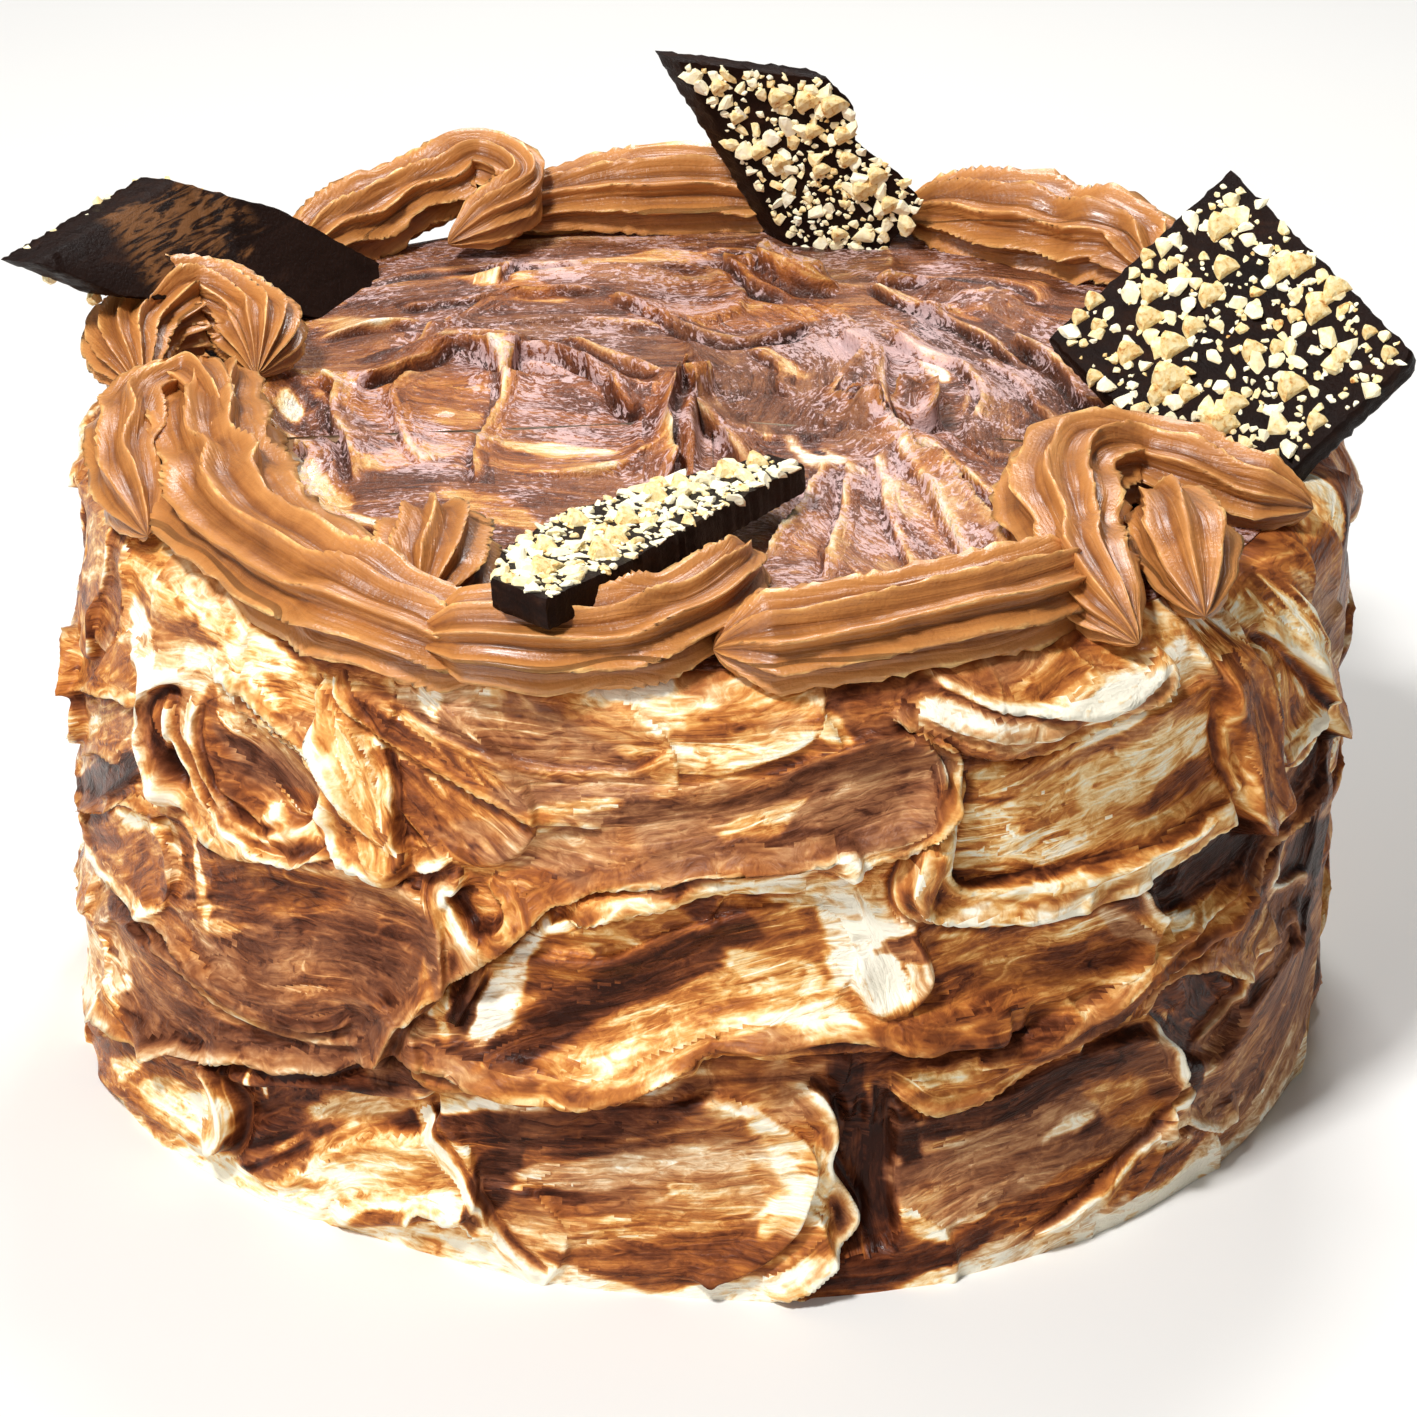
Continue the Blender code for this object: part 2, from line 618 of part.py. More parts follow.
def build():
    for thing in list(bpy.data.objects):
        bpy.data.objects.remove(thing)

    cake = make_cake()
    over_cake = grown_copy(cake)
    ropes = [make_rope(rope) for rope in ROPES]
    slabs = [make_slab(bark) for bark in BARKS]

    grown_slabs = [grown_copy(slab) for slab in slabs]
    grown_ropes = [grown_copy(rope) for rope in ropes]
    for index, rope in enumerate(ropes):
        cut(rope, over_cake, piped=True)
        for later in grown_ropes[index + 1 :]:
            if near(rope, later):
                cut(rope, later, piped=True)
        for slab in grown_slabs:
            if near(rope, slab):
                cut(rope, slab)
        tidy_mesh(rope)
        keep_largest(rope)
    for slab in grown_slabs:
        if near(cake, slab):
            cut(cake, slab)
    tidy_mesh(cake)
    keep_largest(cake)

    draw = random.Random(SEED)
    for slab, bark in zip(slabs, BARKS):
        add_nuts(slab, bark, draw)

    for thing in [over_cake, *grown_slabs, *grown_ropes]:
        bpy.data.objects.remove(thing)

    give_material(cake, "marbled frosting", (0.35, 0.17, 0.085), 0.35, 0.4)
    for rope in ropes:
        give_material(rope, rope.name + " buttercream", (0.47, 0.22, 0.10), 0.4, 0.2)
        rope.data.shade_smooth()
        rope.data.set_sharp_from_angle(angle=math.radians(50))
    for slab in slabs:
        give_material(slab, slab.name + " chocolate", (0.035, 0.018, 0.012), 0.35, 0.2)
    cake.data.shade_smooth()
    cake.data.set_sharp_from_angle(angle=math.radians(50))


build()
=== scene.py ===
import json
import math
import random
from typing import NamedTuple

import bmesh
import bpy
import numpy as np
from mathutils import Euler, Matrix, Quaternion, Vector

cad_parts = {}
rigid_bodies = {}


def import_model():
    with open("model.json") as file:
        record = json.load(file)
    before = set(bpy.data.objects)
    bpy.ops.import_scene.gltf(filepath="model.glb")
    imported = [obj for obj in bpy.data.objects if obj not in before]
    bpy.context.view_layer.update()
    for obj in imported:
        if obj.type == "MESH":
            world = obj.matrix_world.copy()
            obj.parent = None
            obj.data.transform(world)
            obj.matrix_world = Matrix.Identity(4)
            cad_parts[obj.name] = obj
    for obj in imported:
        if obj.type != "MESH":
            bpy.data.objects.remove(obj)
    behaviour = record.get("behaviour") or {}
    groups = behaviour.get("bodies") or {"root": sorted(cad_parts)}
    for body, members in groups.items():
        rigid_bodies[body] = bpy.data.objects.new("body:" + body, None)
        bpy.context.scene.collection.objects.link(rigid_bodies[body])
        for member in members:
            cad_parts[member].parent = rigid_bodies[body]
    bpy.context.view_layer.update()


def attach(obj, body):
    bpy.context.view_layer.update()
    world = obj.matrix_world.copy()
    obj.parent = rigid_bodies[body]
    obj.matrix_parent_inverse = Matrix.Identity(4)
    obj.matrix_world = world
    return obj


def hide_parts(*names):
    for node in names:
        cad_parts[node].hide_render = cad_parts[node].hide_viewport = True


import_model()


# The frosting on the side
# Buttercream in cream, caramel and dark chocolate, marbled on the cake itself with a palette knife.
# Each stroke of the knife leaves a pressed bed and pushes up a crest along its edges and at its end.

MM = 0.001
BASE_RADIUS = 110.0
TOP_RADIUS = 107.5
HEIGHT = 105.0
SHOULDER = 8.0
TURN = 2 * math.pi * BASE_RADIUS
CREST_WIDTH = 1.7
RIDGE_REACH = 6.0
STROKE_ROUNDNESS = 2.15  # 2 gives a stroke round ends, more gives squarer ones
SIDE_ROWS = 164
SHOULDER_ROWS = 19
BACK_ROW_HEIGHTS = (14, 88, 62, 37)
UNDER_ROW_HEIGHTS = (2, 20, 38, 56, 74, 92, 102)
BACK_PATCH_COUNT = 150
BACK_RIDGE_COUNT = 46
SEED = 41


class Sweep(NamedTuple):
    """One stroke of the knife. Tone runs from 0, cream, to 1, dark chocolate, at its four corners:
    start above, start below, end above, end below; a darker top is partly marbling and partly
    painted shade under the lip of the stroke above. Warm 1 is caramel, 0 a greyer mocha."""

    start: tuple
    end: tuple
    half: float
    bow: float = 0.0
    level: float = 0.0
    up: float = 1.5
    down: float = 1.5
    tip: float = 1.5
    tone: tuple = (0.6, 0.5, 0.5, 0.4)
    warm: float = 0.6
    gloss: float = 0.25
    # Edge below 0 paints the crest lighter: a painted highlight along the crest
    edge: float = -0.15


# Strokes that show from the front: points are (degrees round, height), first laid first
SIDE_SWEEPS = (
    Sweep((-86, 8), (-70, 18), 11, level=-0.4, tone=(0.2, 0.1, 0.3, 0.15), warm=0.7),
    Sweep((-88, 86), (-72, 96), 11, level=-0.4, tone=(0.4, 0.3, 0.3, 0.25), warm=0.7),
    Sweep((-72, 60), (-58, 78), 11, up=1.0, down=2.0, tone=(0.45, 0.5, 0.3, 0.45), warm=0.6),
    Sweep((-74, 34), (-58, 50), 10, up=2.0, tone=(0.45, 0.3, 0.5, 0.3), warm=0.6),
    Sweep((-70, 10), (-50, 14), 10, tip=2.6, tone=(0.35, 0.1, 0.4, 0.12), warm=0.9, edge=-0.3),
    Sweep((-66, 27), (-28, 38), 9, bow=-3, level=0.4, down=2.6, tone=(0.5, 0.6, 0.62, 0.68),
          warm=0.3),
    Sweep((-43, 12), (-28, 30), 8, level=-2.6, up=0.0, down=0.0, tip=0.0,
          tone=(0.8, 0.75, 0.9, 0.85), warm=0.8, gloss=0.9, edge=0.0),
    Sweep((-37, 8), (-24, 18), 9, level=0.5, up=2.2, tip=2.0, tone=(0.3, 0.15, 0.35, 0.1),
          warm=0.9, edge=-0.25),
    Sweep((-11, 18), (-1, 20), 16, level=-0.4, up=1.0, down=1.0, tip=2.8,
          tone=(0.8, 0.45, 0.5, 0.3), warm=0.5, edge=-0.2),
    Sweep((12, 34), (13, 14), 6, level=-2.8, up=0.0, down=0.0, tip=0.0,
          tone=(0.9, 0.95, 0.85, 0.9), warm=0.4, gloss=1.0, edge=0.0),
    Sweep((23, 18), (36, 19), 15, level=-0.4, up=1.0, down=0.5, tip=2.0,
          tone=(0.75, 0.4, 0.75, 0.35), warm=0.35),
    Sweep((44, 38), (50, 28), 7, level=-2.8, up=0.0, down=0.0, tip=0.0,
          tone=(0.85, 0.85, 0.9, 0.9), warm=0.6, gloss=0.9, edge=0.0),
    Sweep((53, 13), (69, 22), 13, up=1.5, tip=1.0, tone=(0.7, 0.4, 0.65, 0.45), warm=0.3),
    Sweep((-48, 48), (-28, 57), 12, bow=2, up=1.5, down=1.0, tip=2.6,
          tone=(0.6, 0.55, 0.62, 0.6), warm=0.45, edge=-0.2),
    Sweep((-16, 46), (6, 60), 10, bow=1, level=-0.6, up=2.0, down=2.2, tip=1.0,
          tone=(0.72, 0.45, 0.5, 0.1), warm=0.85, edge=-0.1),
    Sweep((12, 66), (14, 56), 6, level=1.2, tone=(0.0, 0.0, 0.05, 0.05), warm=0.4, edge=0.0),
    Sweep((18, 54), (37, 56), 8, level=0.2, down=1.4, tip=2.0, tone=(0.45, 0.6, 0.5, 0.55),
          warm=0.95),
    # This dark recessed stroke under the crests near 65 high is partly dark chocolate and partly painted
    # shadow beneath them
    Sweep((42, 58), (55, 60), 7, level=-2.0, up=0.0, down=0.0, tip=0.0,
          tone=(0.85, 0.9, 0.95, 0.9), warm=0.4, gloss=0.5, edge=0.0),
    Sweep((56, 42), (70, 56), 10, level=-0.6, up=1.8, tone=(0.75, 0.7, 0.7, 0.75), warm=0.15),
    Sweep((-27, 36), (-2, 42), 2.5, bow=-1, level=2.2, tone=(0.6, 0.3, 0.6, 0.2), warm=0.7),
    Sweep((-1, 44), (24, 46), 2.5, bow=2, level=2.2, tone=(0.6, 0.6, 0.65, 0.6), warm=0.6),
    Sweep((16, 38), (40, 47), 2.5, bow=-2, level=2.0, tone=(0.65, 0.6, 0.6, 0.5), warm=0.6),
    Sweep((-45, 82), (-38, 76), 10, level=-1.6, up=2.4, down=2.4, tip=2.4,
          tone=(0.4, 0.35, 0.45, 0.35), warm=0.5, edge=-0.3),
    Sweep((-55, 84), (-53, 67), 2.6, bow=-2, level=2.8, tone=(0.0, 0.05, 0.0, 0.1), warm=0.3,
          edge=0.0),
    Sweep((-27, 93), (-20, 84), 10, up=1.2, tone=(0.6, 0.55, 0.5, 0.6), warm=0.85, gloss=0.6),
    Sweep((-33, 96), (-27, 74), 4, level=1.8, tip=2.0, tone=(0.3, 0.2, 0.35, 0.25), warm=0.8),
    Sweep((-16, 80), (13, 89), 9, bow=-3, level=-0.4, up=1.0, down=1.6, tip=3.0,
          tone=(0.48, 0.58, 0.6, 0.58), warm=0.35, edge=-0.2),
    Sweep((-13, 68), (10, 78), 2.2, bow=2, level=2.6, tone=(0.05, 0.0, 0.0, 0.0), warm=0.4,
          edge=0.0),
    Sweep((25, 77), (46, 81), 12, bow=1, level=-0.4, up=1.4, down=2.4, tip=1.0,
          tone=(0.6, 0.35, 0.6, 0.3), warm=0.85),
    Sweep((17, 92), (16, 70), 2.4, bow=2, level=2.2, tone=(0.65, 0.6, 0.6, 0.5), warm=0.7),
    Sweep((18, 100), (38, 99), 3, bow=-3, level=2.4, tone=(0.1, 0.1, 0.05, 0.05), warm=0.4,
          edge=0.0),
    Sweep((56, 94), (60, 78), 9, level=0.8, tip=2.4, tone=(0.3, 0.25, 0.2, 0.15), warm=0.8),
    Sweep((58, 94), (70, 66), 2.6, bow=1, level=3.0, tone=(0.45, 0.4, 0.4, 0.35), warm=0.7,
          gloss=0.5),
    Sweep((46, 100), (54, 66), 5.0, bow=1, level=3.6, up=0.4, down=0.4, tip=0.6,
          tone=(0.55, 0.55, 0.5, 0.5), warm=0.85, gloss=0.8, edge=0.0),
)

# Where the body is fuller or leaner than round: (degrees, height, spread of each, amount)
SWELLS = (
    (-62, 8, 16, 22, 2.6),
    (-27, 0, 13, 12, -2.0),
    (18, 0, 20, 12, 1.8),
    (80, 90, 35, 30, 1.3),
    (-88, 100, 30, 14, -1.0),
)


class Ridge(NamedTuple):
    """A thin crest that the knife's edge left: it leans over to its right when over is 1, to its
    left when -1. Way holds (degrees round, height) on the side, (x, y) on the top."""

    way: tuple
    height: float = 1.6
    width: float = 1.0
    tone: float = 0.35
    warm: float = 0.6
    over: int = 1


# Crests that show from the front, each followed from left to right or from above
SIDE_RIDGES = (
    Ridge(((-29, 37), (-23.7, 39), (-16.7, 37), (-9.7, 38.5), (-3.6, 43.2), (0.6, 47.3), (6, 48.4),
           (11.3, 48.4), (15.8, 46.7), (20.6, 45.5), (27, 44.5)), 2.6, 1.3, 0.55, 0.6),
    Ridge(((-26, 36), (-16.7, 34.6), (-9.7, 36.4), (-3.4, 41), (0.8, 45), (6, 46), (14, 44.5),
           (20, 42.5)), 1.3, 0.8, 0.4, 0.7),
    Ridge(((14.5, 37.5), (16.2, 36.3), (18.8, 33), (24, 34.5), (28, 38), (34.6, 42.7), (38.8, 46.5),
           (48, 47.3), (52.2, 50.2), (58.3, 55.4), (64.4, 60), (70, 61)), 2.2, 1.1, 0.6, 0.4),
    Ridge(((22, 39), (28, 40.5), (34, 44), (38.5, 48), (46, 50), (54, 54)), 1.0, 0.8, 0.6, 0.6),
    Ridge(((-29.5, 34), (-26.7, 43), (-23.7, 51.3), (-20.6, 57.2), (-17.6, 61.3), (-14.6, 67.7),
           (-12.1, 71.2), (-8.5, 74), (-3.6, 76.4), (2.1, 78.4), (9.7, 79)), 2.4, 1.2, 0.5, 0.6),
    Ridge(((-12.5, 66.5), (-10, 68), (-5.5, 71), (-1, 73), (3.6, 73.3), (7.5, 73)), 1.4, 0.8, 0.3, 0.8),
    Ridge(((9.2, 75), (12.8, 78), (15.8, 80), (17.9, 84), (18.9, 89.3), (18.2, 94.5), (15.2, 97)),
          2.6, 1.0, 0.18, 0.7),
    Ridge(((19.9, 90), (19.6, 85), (18.8, 79), (18.2, 73.5), (20, 69.8), (24, 68.4), (30, 67.9),
           (38, 67.6), (45, 68.8), (49, 70)), 1.5, 0.9, 0.3, 0.8, -1),
    Ridge(((17.2, 79), (16.2, 72), (17.8, 67.8), (22, 65.6), (28, 64.7), (34, 64.2), (40, 65.3),
           (46, 67.3), (50, 68.8)), 2.4, 1.2, 0.25, 0.6, 1),
    Ridge(((15.6, 76.5), (14.9, 71), (16.4, 66.8), (20.5, 64.5), (27, 63), (33, 62.5)), 1.3, 0.8,
          0.45, 0.6, 1),
    Ridge(((7.3, 38.5), (8.8, 35.6), (9.8, 30), (9.4, 24.5), (10, 20.4), (11.2, 16.3), (11.7, 12.3),
           (9.7, 8.7), (7.6, 4.7), (4.8, 1)), 2.6, 1.3, 0.08, 0.6, -1),
    Ridge(((-24.8, 28), (-22.1, 20.4), (-19.7, 13.4), (-18.8, 9.3), (-16.7, 4.7), (-13.6, 0.6)), 1.4,
          0.9, 0.2, 0.6, -1),
    Ridge(((-26.7, 4.7), (-25.7, 9), (-24, 9.9), (-21.2, 8.8), (-18.4, 6.4)), 1.3, 0.8, 0.25, 0.9),
    Ridge(((-52, 19.5), (-48, 22), (-46.5, 18.5), (-45.5, 13.5), (-46, 9.5), (-48, 7)), 2.2, 1.7,
          0.0, 0.4, -1),
    Ridge(((-70, 14), (-64.7, 15.8), (-57, 17.5), (-52.5, 21), (-48, 23.6), (-44, 26.3),
           (-38.9, 28.6), (-34.3, 31), (-31.3, 33.8), (-28.5, 38)), 2.4, 1.1, 0.2, 0.3),
    Ridge(((-60, 41.4), (-54, 40.3), (-49.5, 38), (-45, 36.2), (-38.9, 36.2), (-34.3, 38),
           (-30.6, 41.5)), 1.2, 0.9, 0.6, 0.4),
    Ridge(((-60, 37.5), (-52, 36.8), (-46, 34), (-38.9, 34), (-33.6, 35.8), (-29.5, 39)), 0.8, 0.8,
          0.5, 0.5),
    Ridge(((-53.4, 64.2), (-51, 65.5), (-48, 63), (-43.4, 63.6), (-38.9, 66), (-34.3, 68.8),
           (-31.3, 70), (-28.3, 69), (-25.5, 68.5)), 1.5, 0.9, 0.4, 0.6),
    Ridge(((-51.6, 87.5), (-54, 87), (-55.9, 83.4), (-56, 77.6), (-54.6, 72.3), (-53.2, 67.7),
           (-51, 65.6)), 2.4, 1.9, 0.0, 0.3, -1),
    Ridge(((-53.1, 82.8), (-52.8, 78.2), (-51.3, 73.5), (-49, 69), (-44.9, 66.8), (-40.4, 65.8),
           (-35.8, 68), (-32.8, 70.2)), 1.5, 0.9, 0.3, 0.6, -1),
    Ridge(((-49.2, 85.2), (-49.6, 80), (-48.6, 75.8), (-47.3, 71.2), (-44.9, 68.6), (-41.3, 68),
           (-37.3, 69.6), (-35, 71)), 1.3, 0.8, 0.3, 0.6, -1),
    Ridge(((-47, 90.4), (-44.9, 92.8), (-41.9, 91.6), (-38.9, 89.8), (-35.8, 87), (-33.1, 82.8),
           (-32.2, 78.2), (-33, 73.5)), 1.7, 1.0, 0.3, 0.7),
    Ridge(((-44.3, 88), (-41.9, 88.2), (-38.9, 87), (-36, 84.6), (-35, 81)), 1.2, 0.8, 0.4, 0.6),
    Ridge(((-40.5, 73), (-39, 70.8), (-36.5, 70.6), (-35.2, 73)), 1.3, 0.9, 0.1, 0.7, -1),
    Ridge(((-33.7, 99), (-33, 90.4), (-31.9, 81.7), (-32.3, 72.3), (-30.4, 69.6), (-27.3, 68.8),
           (-24.9, 70)), 1.6, 1.0, 0.2, 0.8),
    Ridge(((-31.3, 96.3), (-28.5, 89.3), (-27.3, 82.8), (-27, 77), (-26.2, 72.5)), 1.3, 0.9, 0.4, 0.8,
          -1),
    Ridge(((-33.7, 93.3), (-31.4, 82.8), (-29.8, 77), (-27.3, 74)), 1.0, 0.8, 0.2, 0.9),
    Ridge(((-33.1, 99.8), (-30.4, 94.5), (-26.7, 91), (-21.9, 87.5), (-16, 84), (-9, 82)), 1.1, 0.9,
          0.45, 0.8),
    Ridge(((-26.7, 97), (-22, 93), (-15, 90.5), (-7, 91), (-3.5, 95)), 0.9, 0.8, 0.5, 0.8, -1),
    Ridge(((-25, 70.4), (-23, 72.6), (-21.4, 75)), 1.6, 1.2, 0.05, 0.5),
    Ridge(((-20.6, 71), (-22.5, 68), (-21.9, 63.4), (-20.4, 60.5), (-18.8, 60)), 2.2, 1.6, 0.0, 0.2,
          -1),
    Ridge(((-19, 70.5), (-17, 69), (-16.4, 66), (-17.8, 62.6), (-19.6, 61.6)), 1.6, 1.1, 0.3, 0.7),
    Ridge(((-14, 66), (-13.3, 63.8), (-11.5, 66), (-8.5, 68.6)), 1.2, 0.8, 0.1, 0.6, -1),
    Ridge(((-21.5, 44.3), (-20.5, 50), (-19.2, 56)), 1.2, 0.8, 0.7, 0.5),
    Ridge(((14.3, 100.6), (17.3, 97.4), (19.7, 94.2), (23.3, 92.2), (26.4, 91.5), (31, 93),
           (35.5, 95.2), (38.2, 98), (39.4, 101)), 2.0, 1.0, 0.4, 0.6),
    Ridge(((18, 104), (22, 101), (26.4, 98.6), (31, 97.2), (35.5, 98.5), (38.6, 101)), 1.6, 0.9, 0.05,
          0.4),
    Ridge(((16.5, 101), (20, 97.6), (25, 95.2), (31, 95), (36, 96.8)), 1.0, 0.7, 0.5, 0.4),
    Ridge(((46, 98), (47.4, 90.4), (48, 82.8), (49.2, 75.8), (50.8, 69), (52.6, 64), (54.5, 61.2)),
          1.2, 1.1, 0.35, 0.9, 1),
    Ridge(((50.7, 96.3), (52.5, 91.6), (53.4, 85.2), (54.3, 78.8), (56, 72.3), (57, 66.5),
           (56.2, 62)), 1.2, 1.1, 0.45, 0.9, -1),
    Ridge(((53, 98), (55.2, 95), (58.3, 90.4), (61.3, 85.7), (63.8, 79.4), (65.9, 73.5),
           (69.2, 67.7), (73, 64)), 2.0, 1.1, 0.25, 0.8),
    Ridge(((56.2, 72.6), (59.8, 72.3), (64, 74.6)), 1.2, 0.8, 0.25, 0.5),
    Ridge(((39.6, 36.5), (39.6, 40.8), (41.3, 43.4), (44.3, 43.8), (47.6, 41.6), (50.7, 38.4),
           (53.4, 35.4), (54.6, 32)), 1.9, 1.1, 0.3, 0.3, 1),
    Ridge(((40.1, 36.8), (41.3, 32.1), (42.5, 28.6), (43.7, 22.2), (46.1, 17.5)), 1.6, 1.0, 0.15, 0.5,
          -1),
    Ridge(((54, 32.7), (53.4, 28.6), (51, 25.2), (48, 24.2)), 1.2, 0.9, 0.5, 0.3, 1),
    Ridge(((46, 18), (43.1, 17), (40.7, 13.4), (37, 9.3), (34, 6.4), (28, 4)), 1.5, 1.0, 0.2, 0.5),
    Ridge(((41.3, 13.8), (44.9, 14.4), (47.6, 11.4), (50.7, 8.8), (54, 9.3)), 1.2, 0.9, 0.2, 0.4),
    Ridge(((59.4, 51.4), (57.4, 48.9), (58.9, 46), (62, 43.2), (67, 42)), 1.3, 0.8, 0.3, 0.5, -1),
    Ridge(((36.7, 63), (38, 59.5), (40, 55), (42.5, 53), (46, 52)), 1.6, 1.0, 0.15, 0.2, -1),
    Ridge(((56, 36), (60, 37.5), (64, 36), (64.6, 28)), 1.2, 0.9, 0.5, 0.3),
    Ridge(((-75, 36), (-66, 38.8), (-58, 40)), 1.2, 0.9, 0.2, 0.5),
    Ridge(((-76, 44), (-68, 50.5), (-61, 58.5), (-54, 62)), 1.6, 0.9, 0.6, 0.6),
    Ridge(((-78, 52), (-70, 60), (-63, 63.5)), 1.2, 0.8, 0.3, 0.5),
    Ridge(((-80, 62), (-72, 70), (-65, 75), (-59, 77.5)), 1.6, 1.0, 0.3, 0.8),
)

